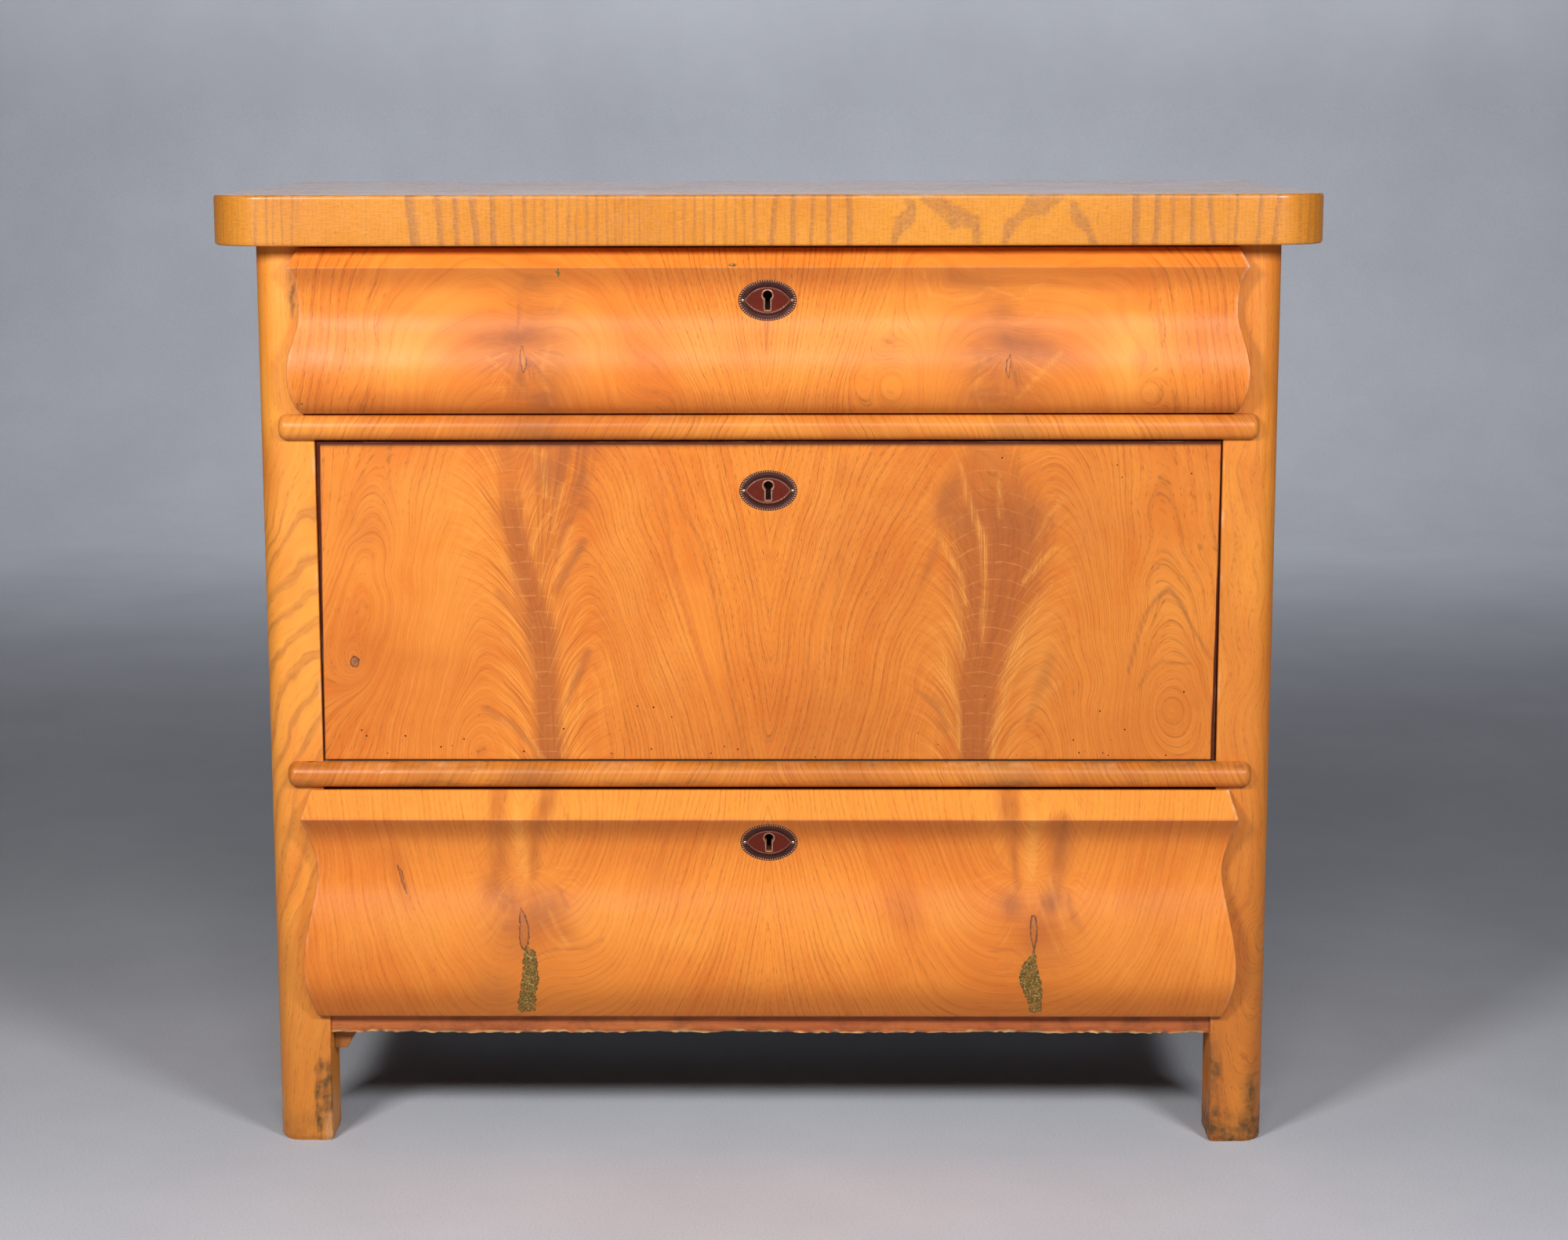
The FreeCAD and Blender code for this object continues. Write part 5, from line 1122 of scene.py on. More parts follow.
def flat_front(material):
    half, low, high = 415.2, 372.4, 670.6
    rim = np.array([0, 0.12, 0.6, 1.3, 2.1, 3.0, 4.1])
    xs = np.concatenate([-half + rim, np.linspace(-half + 5.6, half - 5.6, 316), (half - rim)[::-1]])
    zs = np.concatenate([high - rim, np.linspace(high - 5.6, low + 2.4, 122), [low + 1.2, low + 0.5, low + 0.12, low]])
    X, Z = np.meshgrid(xs, zs)
    inset = np.minimum(half - np.abs(X), np.minimum(high - Z, Z - low))
    Y = 0.05 + 0.35 * smooth(0.5, 0.0, inset) + 0.12 * fbm(X / 150.0, Z / 110.0, 1.0, 5)
    g = np.stack([X, Y, Z], -1)
    back = g.copy()
    back[..., 1] = 1.0
    cx = 0.25 * (g[:-1, :-1] + g[1:, :-1] + g[:-1, 1:] + g[1:, 1:])
    skip = (np.abs(cx[..., 0]) < 5.4) & (np.abs(cx[..., 2] - KEYS["mid"]) < 10.6)
    verts, faces = shell(g, back, skip)
    attrs = front_grain("mid", X, Z)
    attrs["wear"] = 0.10 * smooth(0.9, 0.1, inset) * (fbm(X / 30.0, Z / 30.0, 2.0, 3) > 0.15)
    attrs["grime"] = 0.30 * smooth(3.0, 0.3, inset) * (Z < low + 30)
    # painted gap shade: the edge darkened nearly to black where the left edge stands clear of the post at the top and
    # the right edge towards the bottom; the outline itself stays square
    left_gap_shade = smooth(0.5, -0.4, X + half - 0.3 - 3.0 * (Z - low) / (high - low))
    right_gap_shade = smooth(0.5, -0.4, half - X - 0.2 - 3.6 * ((high - Z) / (high - low)) ** 1.4)
    attrs["tone"] = np.maximum(attrs["tone"], 0.975 * np.maximum(left_gap_shade, right_gap_shade))
    verts[:, 1] += Y0
    attrs = {k: np.concatenate([v.ravel(), v.ravel()]) for k, v in attrs.items()}
    return make("middle_drawer_veneer", verts, faces, "middle_drawer", attrs, material, sharp=40)


# ------------------------------------------------------------------ posts
def post(side, material):
    """Front post with a rounded outer arris, running down as a leg."""
    r, e = 22.0, 1.2
    inner, outer, deep = 417.0, 469.0, 50.0
    pts = []

    def arc(cx, cy, rad, a, b, n):
        for t in np.linspace(a, b, n):
            pts.append((cx + rad * math.cos(t), cy + rad * math.sin(t)))

    def run(a, b, n):
        for t in np.linspace(0, 1, n + 2)[1:-1]:
            pts.append((a[0] + (b[0] - a[0]) * t, a[1] + (b[1] - a[1]) * t))

    arc(inner + e, e, e, math.pi, 1.5 * math.pi, 4)
    run((inner + e, 0), (outer - r, 0), 18)
    arc(outer - r, r, r, 1.5 * math.pi, 2 * math.pi, 22)
    run((outer, r), (outer, deep - e), 12)
    arc(outer - e, deep - e, e, 0, 0.5 * math.pi, 4)
    run((outer - e, deep), (inner + e, deep), 10)
    arc(inner + e, deep - e, e, 0.5 * math.pi, math.pi, 4)
    run((inner, deep - e), (inner, e), 12)
    base = np.array(pts)
    s = np.concatenate([[0], np.cumsum(np.linalg.norm(np.diff(base, axis=0), axis=1))])
    top = 850.5
    zs = np.concatenate([[0, 0.8, 2.0, 3.6], np.linspace(6, top - 1, 250), [top]])
    mid = np.array([(inner + outer) / 2, deep / 2])
    out = base - mid
    out /= np.linalg.norm(out, axis=1)[:, None]
    loops, S, Z = [], [], []
    seed = 60 if side > 0 else 61
    for z in zs:
        p = base.copy()
        foot = math.sqrt(max(0.0, 1 - min(1.0, z / 3.6))) * 1.6
        worn = 0.5 * smooth(70, 0, np.array([z]))[0]
        wave = 0.10 * fbm(s / 18.0, z / 90.0, side, seed) - 0.05
        knocks = -0.9 * np.clip(noise(s / 9.0, z / 14.0, side * 2, seed + 3) - 0.78, 0, 1) * 4 * smooth(20, 34, s) * smooth(84, 66, s)
        rough_foot = worn * (fbm(s / 6.0, z / 9.0, side, seed + 5) - 0.3)
        p = p + out * (np.minimum(0.0, wave) + knocks * 0.5 - foot * (1 + 0.5 * fbm(s / 9.0, 0.0, side, seed + 8)) + np.minimum(0, rough_foot))[:, None]
        if z < 104:
            # the leg's inner front arris is knocked back a little
            near = np.exp(-((s - 1.0) / 3.0) ** 2)
            p = p + np.outer(near, (0.8, 0.8)) * smooth(108, 90, np.array([z]))[0] * (1 + 0.6 * fbm(0.0, z / 11.0, side, seed + 9))
        loops.append(np.stack([side * p[:, 0], p[:, 1] + Y0, np.full(len(p), z)], -1))
        S.append(s)
        Z.append(np.full(len(s), z))
    S, Z = np.array(S), np.array(Z)
    verts, faces = loft(loops if side > 0 else [l[::-1] for l in loops])
    if side < 0:
        S, Z = S[:, ::-1], Z[:, ::-1]
    f = post_grain(side, S, Z)
    name = "front_post_right" if side > 0 else "front_post_left"
    return make(name + "_ash", verts, faces, "carcass", {k: v.ravel() for k, v in f.items()}, material, sharp=38,
                replaces=(name,))


def post_grain(side, S, Z):
    """S runs from the inner front corner round the outside of the post."""
    guides = POST_GUIDES["left" if side < 0 else "right"]
    phi = plate_field(guides, np.minimum(S, 64.0), Z, 6.0) + np.maximum(0, S - 64.0) / 9.0
    phi = phi + 0.22 * fbm(S / 12.0, Z / 40.0, side * 3.0, 71)
    f = {"phi": phi, "psi": Z + 0.3 * S}
    wavy = smooth(640, 600, Z) * smooth(330, 390, Z)
    f["lines"] = (0.46 - 0.10 * wavy - 0.12 * smooth(660, 720, Z)) if side < 0 else 0.50 + 0.20 * smooth(260, 200, Z) + 0.0 * S
    f["rust"] = np.clip(0.30 * fbm(S / 30.0, Z / 90.0, side * 7.0, 72) + (0.10 if side < 0 else 0.26), 0, 1) + (0.0 if side < 0 else 0.16) * (smooth(640, 380, Z) + 0.8 * smooth(190, 110, Z)) + 0.35 * smooth(700, 650, Z) * smooth(600, 640, Z) * smooth(14, 40, S) * (side < 0)
    if side < 0:
        # broad soft waves beside the middle drawer
        wave = np.cos(2 * math.pi * (phi - 0.10 + 0.10 * fbm(S / 9.0, Z / 12.0, 1.0, 84)))
        f["dark"] = 0.52 * wavy * smooth(0.25, 1.0, wave) * (0.80 + 0.5 * fbm(S / 14.0, Z / 14.0, 2.0, 85)) + 0.22 * smooth(0.3, 1.0, wave) * smooth(380, 330, Z) * smooth(150, 230, Z)
    f["glow"] = np.clip(0.45 + 0.5 * fbm(S / 25.0, Z / 120.0, side * 5.0, 73), 0, 1) * (0.75 if side < 0 else 0.15)
    if side > 0:
        foot = 1.25 * smooth(46, 12, Z) * (0.75 + 0.6 * fbm(S / 9.0, Z / 9.0, 1.0, 76))
        foot = np.maximum(foot, 1.2 * smooth(17, 5, S) * smooth(116, 70, Z) * (0.75 + 0.7 * fbm(S / 6.0, Z / 14.0, 2.0, 77)))
        foot = np.maximum(foot, 1.05 * blob(S, Z, 42, 44, 9, 32) * (0.85 + 0.5 * fbm(S / 6.0, Z / 14.0, 5.0, 79)))
        foot = foot * (1 - 0.92 * blob(S, Z, 22, 44, 9, 15)) * (1 - 0.75 * blob(S, Z, 21, 20, 6, 5))
    else:
        strip = smooth(18.0, 15.5, S + 0.9 * noise(Z / 7.0, 1.0, 1.0, 80)) * smooth(84, 76, Z + 4 * noise(S / 3.0, 2.0, 1.0, 81))
        foot = strip * np.clip(0.80 + 0.9 * fbm(S / 3.5, Z / 13.0, 1.0, 77), 0.25, 0.98) * (1 - 0.5 * smooth(30, 18, Z) * smooth(12, 8, S))
        foot = np.maximum(foot, 0.98 * np.exp(-((S - 13.2 + 0.06 * Z) / 0.9) ** 2) * smooth(44, 34, Z))
        foot = np.maximum(foot, 0.45 * smooth(42, 6, Z) * (0.55 + 0.9 * fbm(S / 10.0, Z / 16.0, 3.0, 82)))
    f["grime"] = np.clip(foot, 0, 0.96)
    # rubbing beside the top drawer's end, where the post is scuffed to the ground
    if side < 0:
        f["grime"] = np.maximum(f["grime"], 1.0 * blob(S, Z, 16.5, 806, 4.2, 20) * np.clip(0.70 + 1.2 * noise(S / 1.6, Z / 5.0, 1.0, 78), 0, 1))
        f["grime"] = np.maximum(f["grime"], 0.45 * blob(S, Z, 20.0, 730, 2.0, 10))
    edge = np.exp(-((S - 1.0) / 1.6) ** 2)
    f["wear"] = np.clip(edge * (0.02 + 0.7 * fbm(S * 0, Z / 26.0, side * 4.0, 75)), 0, 0.35)
    if side < 0:
        f["wear"] = np.maximum(f["wear"], 0.35 * smooth(40, 24, Z) * smooth(11, 6, S) * (0.7 + 0.6 * fbm(S / 3.0, Z / 8.0, 6.0, 83)))
    f["tone"] = 0.16 * smooth(240, 90, Z) if side < 0 else 0.05 + 0.08 * smooth(420, 100, Z)
    return f


# ------------------------------------------------------------------ top
def top_outline(inset=0.0, step=1.4):
    """Plan of the top, from the back left corner round the front."""
    x, f, b, r = 505.0 - inset, -33.0 + inset, 501.0, 50.0 - inset
    pts = []
    for t in np.linspace(0, 1, 160)[:-1]:
        pts.append((-x, b + (f + r - b) * t))
    for a in np.linspace(0, math.pi / 2, 46)[:-1]:
        pts.append((-x + r - r * math.cos(a), f + r - r * math.sin(a)))
    n = int((2 * x - 2 * r) / step)
    n = 650
    for t in np.linspace(0, 1, n)[:-1]:
        pts.append((-x + r + (2 * x - 2 * r) * t, f))
    for a in np.linspace(0, math.pi / 2, 46)[:-1]:
        pts.append((x - r + r * math.sin(a), f + r - r * math.cos(a)))
    for t in np.linspace(0, 1, 160):
        pts.append((x, f + r + (b - f - r) * t))
    for t in np.linspace(0, 1, 60)[1:-1]:
        pts.append((x - 2 * x * t, b))
    return np.array(pts)


def top_panel(edge_material, flat_material):
    ease, zl, zh = 3.0, 850.5, 896.0
    rows = []
    for a in np.linspace(0, math.pi / 2, 6):
        rows.append((zl + ease * (1 - math.cos(a)) * 0.999, ease * (1 - math.sin(a))))
    for z in np.linspace(zl + ease, zh - ease, 27)[1:-1]:
        rows.append((z, 0.0))
    for a in np.linspace(0, math.pi / 2, 6):
        rows.append((zh - ease + ease * math.sin(a), ease * (1 - math.cos(a))))
    ref = top_outline(0)
    s = np.concatenate([[0], np.cumsum(np.linalg.norm(np.diff(ref, axis=0), axis=1))])
    mid = np.argmin(np.abs(ref[:, 0]) + (ref[:, 1] > 0) * 9999)
    s = s - s[mid]
    loops, S, Z = [], [], []
    for z, inset in rows:
        p = top_outline(inset)
        p[p[:, 1] > 500, 1] = 501.0
        loops.append(np.stack([p[:, 0], p[:, 1] + Y0, np.full(len(p), z)], -1))
        S.append(s)
        Z.append(np.full(len(s), z))
    S, Z = np.array(S), np.array(Z)
    band = np.zeros(S.shape)
    down = (zh - 2.0 - Z) / (zh - zl - 4.5)
    for n, (top, low, wide, k) in enumerate(BAND_LINES):
        sway = (0.9 if wide > 3.5 else 0.35) * fbm(n * 3.7, Z / 11.0, 1.0, 81) + 0.22 * noise(n * 1.9, Z / 2.6, 1.0, 82)
        d = S - (top + (low - top) * down) - sway
        # crisp on the left, fading to the right
        body = smooth(-0.60 * wide - 0.5, -0.42 * wide, d) * smooth(0.75 * wide + 0.6, 0.15 * wide, d)
        crisp = np.exp(-((d + 0.42 * wide) / (0.35 + 0.06 * wide)) ** 2)
        band = np.maximum(band, k * (0.86 * body + 0.30 * crisp))
    for s0, s1, pitch, k, seed in ((-640, -487, 5.5, 0.36, 11), (505, 640, 6.0, 0.36, 10)):
        wave = np.cos(2 * math.pi * (S / pitch + 0.5 * fbm(S / 30.0, Z / 30.0, 1.0, seed)))
        band = np.maximum(band, k * smooth(0.35, 0.95, wave) * smooth(s0, s0 + 5, S) * smooth(s1, s1 - 5, S))
    fx, fz = S + 1.6 * fbm(S / 5.0, Z / 4.0, 1.0, 83), Z + 1.2 * fbm(S / 5.0, Z / 4.0, 4.0, 84)
    for poly in FLAMES:
        hit = sum(inside(poly, fx + a, fz + b) * 1.0 for a, b in ((0, 0), (1.3, 0), (-1.3, 0), (0, 1.3), (0, -1.3), (0.8, 0.8), (-0.8, -0.8))) / 7.0
        band = np.maximum(band, 0.58 * hit * (0.85 + 0.4 * fbm(S / 4.0, Z / 4.0, 2.0, 85)))
    x, y = np.array(loops)[..., 0], np.array(loops)[..., 1]
    attrs = {"band": band, "phi": S / 5.0, "psi": Z, "wear": smooth(zh - 3.5, zh - 0.6, Z) * np.clip(0.1 + 0.8 * fbm(S / 30.0, 1.0, 2.0, 84), 0, 1) * 0.8,
             "side": smooth(455, 500, np.abs(S))}
    verts, faces = loft(loops, cap=False)
    n = len(loops[0])
    faces.append(tuple(range(n))[::-1])
    # the flat top as a single face
    faces.append(tuple((len(rows) - 1) * n + j for j in range(n)))
    obj = make("top_panel_ash", verts, faces, "carcass", {k: v.ravel() for k, v in attrs.items()}, edge_material, sharp=50,
               replaces=("top_panel",))
    obj.data.materials.append(flat_material)
    for poly in obj.data.polygons:
        if abs(poly.normal.z) > 0.92:
            poly.material_index = 1
    return obj


# ------------------------------------------------------------------ beads
def bead(name, low, material, seed, worn):
    high, proud, half, end = 24.0, 12.0, 449.0, 7.0
    dx = np.concatenate([np.array([0, 0.15, 0.5, 1.1, 1.9, 3.0, 4.2, 5.6, 7.0]), np.linspace(9, half, 300)])
    xs = np.concatenate([-half + dx, (half - dx)[::-1][1:]])
    ang = np.linspace(0, math.pi, 33)
    X = np.zeros((len(ang), len(xs), 3))
    back = np.zeros_like(X)
    inset = np.where(half - np.abs(xs) < end, end - np.sqrt(np.maximum(0, end ** 2 - (end - (half - np.abs(xs))) ** 2)), 0.0)
    for i, a in enumerate(ang):
        r = proud - inset
        r = r - 0.10 * np.clip(fbm(xs / 40.0, a * 1.5, 1.0, seed) + 0.2, 0, 1) - 0.6 * worn * np.clip(noise(xs / 11.0, a * 2.0, 3.0, seed + 1) - 0.72, 0, 1) * 3
        X[i, :, 0] = xs
        X[i, :, 1] = -r * math.sin(a)
        X[i, :, 2] = low + high / 2 + r * math.cos(a)
        back[i, :, 0], back[i, :, 1], back[i, :, 2] = xs, 0.0, low + high / 2 + (proud - inset) * math.cos(a)
    verts, faces = shell(X, back)
    A, XX = np.meshgrid(ang, xs, indexing="ij")
    z = low + high / 2 + proud * np.cos(A)
    phi = XX / 6.0 + 1.2 * fbm(XX / 45.0, z / 40.0, seed, seed) + 0.08 * (z - low) * np.sign(np.sin(XX / 160.0))
    attrs = {"phi": phi, "psi": 0.5 * z + A * 9, "lines": 0.60 + 0.40 * np.clip(fbm(XX / 60.0, 1.0, seed, seed + 4) + 0.3, 0, 1)}
    attrs["rust"] = np.clip(0.18 + 0.5 * fbm(XX / 70.0, z / 30.0, seed, seed + 5), 0, 0.8)
    attrs["wear"] = np.clip(0.45 * worn * (smooth(1.15, 0.5, A) * (0.2 + 0.9 * fbm(XX / 26.0, z / 8.0, seed, seed + 6))), 0, 0.30)
    # painted shade on the bead's lower, downward-facing side, over a darker tone for the worn bead
    attrs["tone"] = 0.14 * worn + 0.30 * smooth(2.1, 2.9, A) + 0.12 * worn * fbm(XX / 60.0, 1.0, seed, seed + 8)
    attrs["dark"] = np.clip(0.55 * blob(XX, z, -215, low + 10, 26, 14) + 0.50 * blob(XX, z, 225, low + 10, 26, 14), 0, 1)
    attrs["grime"] = np.clip(worn * (0.20 + 0.8 * fbm(XX / 34.0, z / 6.0, seed, seed + 7)) * smooth(0.2, 0.9, np.abs(A - 1.4)), 0, 0.6)
    verts[:, 1] += Y0
    attrs = {k: np.concatenate([v.ravel(), v.ravel()]) for k, v in attrs.items()}
    return make(name + "_ash", verts, faces, "carcass", attrs, material, sharp=50, merge=0.004, replaces=(name,))


# ------------------------------------------------------------------ lower rail with its torn edge
def torn_rail(material):
    xs = np.linspace(-417, 417, 560)
    tear = 106.0 + 1.0 * fbm(xs / 90.0, 1.0, 1.0, 91) + 0.8 * fbm(xs / 20.0, 2.0, 1.0, 92) + 0.5 * noise(xs / 4.2, 3.0, 1.0, 93)
    tear += 2.2 * np.clip(noise(xs / 34.0, 5.0, 1.0, 94) - 0.40, 0, 1)
    ts = np.concatenate([np.linspace(0, 0.55, 5), np.linspace(0.62, 1, 9)])
    g = np.zeros((len(ts), len(xs), 3))
    for i, t in enumerate(ts):
        z = 123.5 + (tear - 123.5) * t
        g[i, :, 0], g[i, :, 2] = xs, z
        split = np.clip((t - 0.62) / 0.38, 0, 1)
        g[i, :, 1] = 4.0 + split ** 2 * (1.8 + 1.6 * noise(xs / 5.0, t * 5.0, 2.0, 95)) + 0.15 * noise(xs / 8.0, t * 9, 1.0, 96)
    back = g.copy()
    back[..., 1] = 50.0
    verts, faces = shell(g, back)
    T = np.repeat(ts[:, None], len(xs), 1)
    torn = smooth(0.84, 0.98, T + 0.10 * noise(g[..., 0] / 7.0, T * 3.0, 1.0, 97))
    verts[:, 1] += Y0
    attrs = {"torn": np.concatenate([torn.ravel(), torn.ravel() * 0 + 0.2])}
    return make("bottom_front_rail_torn", verts, faces, "carcass", attrs, material, sharp=55, replaces=("bottom_front_rail",))


# ------------------------------------------------------------------ escutcheons
def keyhole_outline(n):
    """Round head over a straight slot, as directions from the middle of the slot's neck."""
    r, rise, half, drop = 4.2, 4.5, 2.3, 8.8
    neck = rise - math.sqrt(r * r - half * half)
    pts = []
    a0 = math.asin(half / r)
    for t in np.linspace(-math.pi / 2 + a0, 1.5 * math.pi - a0, 160):
        pts.append((r * math.cos(t), rise + r * math.sin(t)))
    for t in np.linspace(0, 1, 60)[1:]:
        pts.append((-half, neck + (-drop - neck) * t))
    for t in np.linspace(0, 1, 30)[1:-1]:
        pts.append((-half + 2 * half * t, -drop))
    for t in np.linspace(0, 1, 60)[:-1]:
        pts.append((half, -drop + (neck + drop) * t))
    pts = np.array(pts)
    d = np.concatenate([[0], np.cumsum(np.linalg.norm(np.diff(np.vstack([pts, pts[:1]]), axis=0), axis=1))])
    loop = np.vstack([pts, pts[:1]])
    return d, loop


def escutcheon(tag, material, pin_material):
    """Oval pressed plate: roped rim, almond field and a raised border round the keyhole."""
    ow, oh, N, M = 26.6, 18.6, 640, 46
    th = np.linspace(0, 2 * math.pi, N, endpoint=False)
    rim = np.stack([ow * np.cos(th), oh * np.sin(th)], -1)
    # inner loop: the keyhole outline met by rays from inside its neck
    d, loop = keyhole_outline(N)
    ang = np.unwrap(np.arctan2(loop[:, 1] - 1.0, loop[:, 0]))
    order = np.argsort(ang)
    a_s, l_s = ang[order], loop[order]
    ray = np.arctan2(rim[:, 1] * 1.25, rim[:, 0])
    ray = np.where(ray < a_s[0], ray + 2 * math.pi, ray)
    ray = np.where(ray > a_s[-1], ray - 2 * math.pi, ray)
    inner = np.stack([np.interp(ray, a_s, l_s[:, 0]), np.interp(ray, a_s, l_s[:, 1])], -1)
    ts = np.concatenate([np.linspace(0, 0.25, 10), np.linspace(0.25, 0.78, 18)[1:], np.linspace(0.78, 1.0, 19)[1:]])
    P = inner[None] * (1 - ts[:, None, None]) + rim[None] * ts[:, None, None]
    px, pz = P[..., 0], P[..., 1]
    rho = np.sqrt((px / ow) ** 2 + (pz / oh) ** 2)
    turn = np.arctan2(pz / oh, px / ow)
    # arc length round the oval sets an even pitch of the rope
    dense = np.linspace(-math.pi, math.pi, 2001)
    arc = np.concatenate([[0], np.cumsum(np.hypot(np.diff(ow * np.cos(dense)), np.diff(oh * np.sin(dense))))])
    run = np.interp(turn, dense, arc)
    pitch = arc[-1] / 62.0
    base = 0.55 + 0.35 * (1 - rho ** 2)
    rope_at = np.exp(-((rho - 0.950) / 0.030) ** 2)
    twist = (0.5 + 0.5 * np.cos(2 * math.pi * run / pitch)) ** 1.5
    lip = np.exp(-((rho - 0.875) / 0.014) ** 2)
    fillet = np.exp(-((rho - 0.80) / 0.014) ** 2)
    # almond: two arcs through the ends of the field
    R = (20.4 ** 2 + 11.4 ** 2) / (2 * 11.4)
    almond = np.hypot(px, np.abs(pz) + (R - 11.4)) - R
    ridge = np.exp(-(almond / 0.36) ** 2)
    step = np.zeros_like(px)
    dk = np.full(px.shape, 1e9)
    for q in loop[::3]:
        dk = np.minimum(dk, np.hypot(px - q[0], pz - q[1]))
    border = np.exp(-((dk - 0.75) / 0.42) ** 2)
    h = base + rope_at * (0.12 + 0.50 * twist) + 0.26 * lip + 0.16 * fillet + 0.48 * ridge + 0.50 * border
    h = h - 0.9 * smooth(0.992, 1.0, rho) * 0.5
    high = np.clip(rope_at * twist ** 1.5 * 1.2 + lip * 0.12 + fillet * 0.10 + ridge * 0.36 + border * 0.88, 0, 1)
    field = smooth(0.4, -0.6, almond) * smooth(0.6, 1.2, dk)
    k = KEYS[tag]
    z = k + pz
    face = FACINGS[tag].surface(np.clip(z, FACINGS[tag].low, FACINGS[tag].arris - 0.5)) if tag != "mid" else np.full(z.shape, 0.05)
    y = face - 0.05 - h
    yb = face - 0.02
    front = np.stack([px, y + Y0, z], -1)
    back = np.stack([px, yb + Y0, z], -1)
    front = np.concatenate([front, front[:, :1]], 1)
    back = np.concatenate([back, back[:, :1]], 1)
    verts, faces = shell(front, back)
    wrap = lambda a: np.concatenate([a, a[:, :1]], 1).ravel()
    attrs = {"high": np.concatenate([wrap(high)] * 2), "field": np.concatenate([wrap(field)] * 2)}
    node = BODY[tag] + "_escutcheon"
    plate = make(node + "_pressed", verts, faces, BODY[tag], attrs, material, sharp=60, merge=0.003, replaces=(node,))
    # pins: low domes, slightly out of round
    pv, pf = [], []
    for s in (-1, 1):
        f0 = float(FACINGS[tag].surface(k)) if tag != "mid" else 0.05
        loops = []
        for a in np.linspace(0, math.pi / 2, 8):
            r, lift = 1.6 * math.cos(a), 0.95 * math.sin(a)
            if a > math.pi / 2 - 0.01:
                r = 0.08
            c = [(s * 22.5 + r * math.cos(t) * (1 + 0.05 * math.sin(3 * t)), f0 - 0.75 - lift + Y0, k + r * math.sin(t)) for t in np.linspace(0, 2 * math.pi, 24, endpoint=False)]
            loops.append(c)
        loops.insert(0, [(s * 22.5 + 0.8 * math.cos(t), f0 + 6.0 + Y0, k + 0.8 * math.sin(t)) for t in np.linspace(0, 2 * math.pi, 24, endpoint=False)])
        loops.insert(1, [(s * 22.5 + 0.8 * math.cos(t), f0 - 0.75 + Y0, k + 0.8 * math.sin(t)) for t in np.linspace(0, 2 * math.pi, 24, endpoint=False)])
        v, fc = loft(loops)
        off = sum(len(q) for q in pv)
        pv.append(v)
        pf += [tuple(i + off for i in f) for f in fc]
    pins = BODY[tag] + "_escutcheon_pins"
    make(pins + "_domed", np.concatenate(pv), pf, BODY[tag], None, pin_material, sharp=50, replaces=(pins,))
    return plate


# ------------------------------------------------------------------ stopping, knots and worm holes
def inside(poly, x, z):
    hit = np.zeros(np.shape(x), bool)
    n = len(poly)
    for i in range(n):
        (x0, z0), (x1, z1) = poly[i], poly[(i + 1) % n]
        cross = ((z0 > z) != (z1 > z)) & (x < (x1 - x0) * (z - z0) / (z1 - z0 + 1e-12) + x0)
        hit ^= cross
    return hit


def on_face(tag, z):
    if tag == "mid":
        return np.full(np.shape(z), 0.05)
    f = FACINGS[tag]
    return f.surface(np.clip(z, f.low, f.arris - 0.2))


def patch(name, tag, polys, material, step=0.8, lift=0.10, rough=0.25, sink=0.7, seed=5, ragged=1.0, rim=1.2):
    """A thin crumbly patch lying on a front inside the given outlines."""
    parts_v, parts_f, off, rims = [], [], 0, []
    for poly in polys:
        px, pz = [p[0] for p in poly], [p[1] for p in poly]
        xs = np.arange(min(px) - 2, max(px) + 2 + step, step)
        zs = np.arange(max(pz) + 2, min(pz) - 2 - step, -step)
        X, Z = np.meshgrid(xs, zs)
        cx, cz = 0.5 * (xs[1:] + xs[:-1]), 0.5 * (zs[1:] + zs[:-1])
        CX, CZ = np.meshgrid(cx, cz)
        wob = ragged * 1.1
        keep = inside(poly, CX + wob * noise(CX / 3.0, CZ / 3.0, 1.0, seed), CZ + wob * noise(CX / 3.0, CZ / 3.0, 2.0, seed))
        if not keep.any():
            continue
        face = on_face(tag, Z)
        Y = face - lift - rough * np.clip(fbm(X / 2.4, Z / 2.4, 1.0, seed) + 0.25, -0.2, 1)
        front = np.stack([X, Y + Y0, Z], -1)
        back = np.stack([X, face + sink + Y0, Z], -1)
        v, f = shell(front, back, ~keep)
        gap = np.full(X.shape, 1e9)
        for (x0, z0), (x1, z1) in zip(poly, poly[1:] + poly[:1]):
            ex, ez = x1 - x0, z1 - z0
            t = np.clip(((X - x0) * ex + (Z - z0) * ez) / (ex * ex + ez * ez + 1e-9), 0, 1)
            gap = np.minimum(gap, np.hypot(X - x0 - t * ex, Z - z0 - t * ez))
        edge = np.tile(smooth(rim, 0.25 * rim, gap).ravel(), 2)
        used = np.unique(np.array([i for q in f for i in q]))
        new = np.full(len(v), -1)
        new[used] = np.arange(len(used)) + off
        parts_v.append(v[used])
        rims.append(edge[used])
        parts_f += [tuple(int(new[i]) for i in q) for q in f]
        off += len(used)
    return make(name, np.concatenate(parts_v), parts_f, BODY[tag], {"rim": np.concatenate(rims)}, material, sharp=60)


def oval(cx, cz, rx, rz, turn=0.0, n=26):
    c, s = math.cos(turn), math.sin(turn)
    return [(cx + rx * math.cos(t) * c - rz * math.sin(t) * s, cz + rx * math.cos(t) * s + rz * math.sin(t) * c)
            for t in np.linspace(0, 2 * math.pi, n, endpoint=False)]


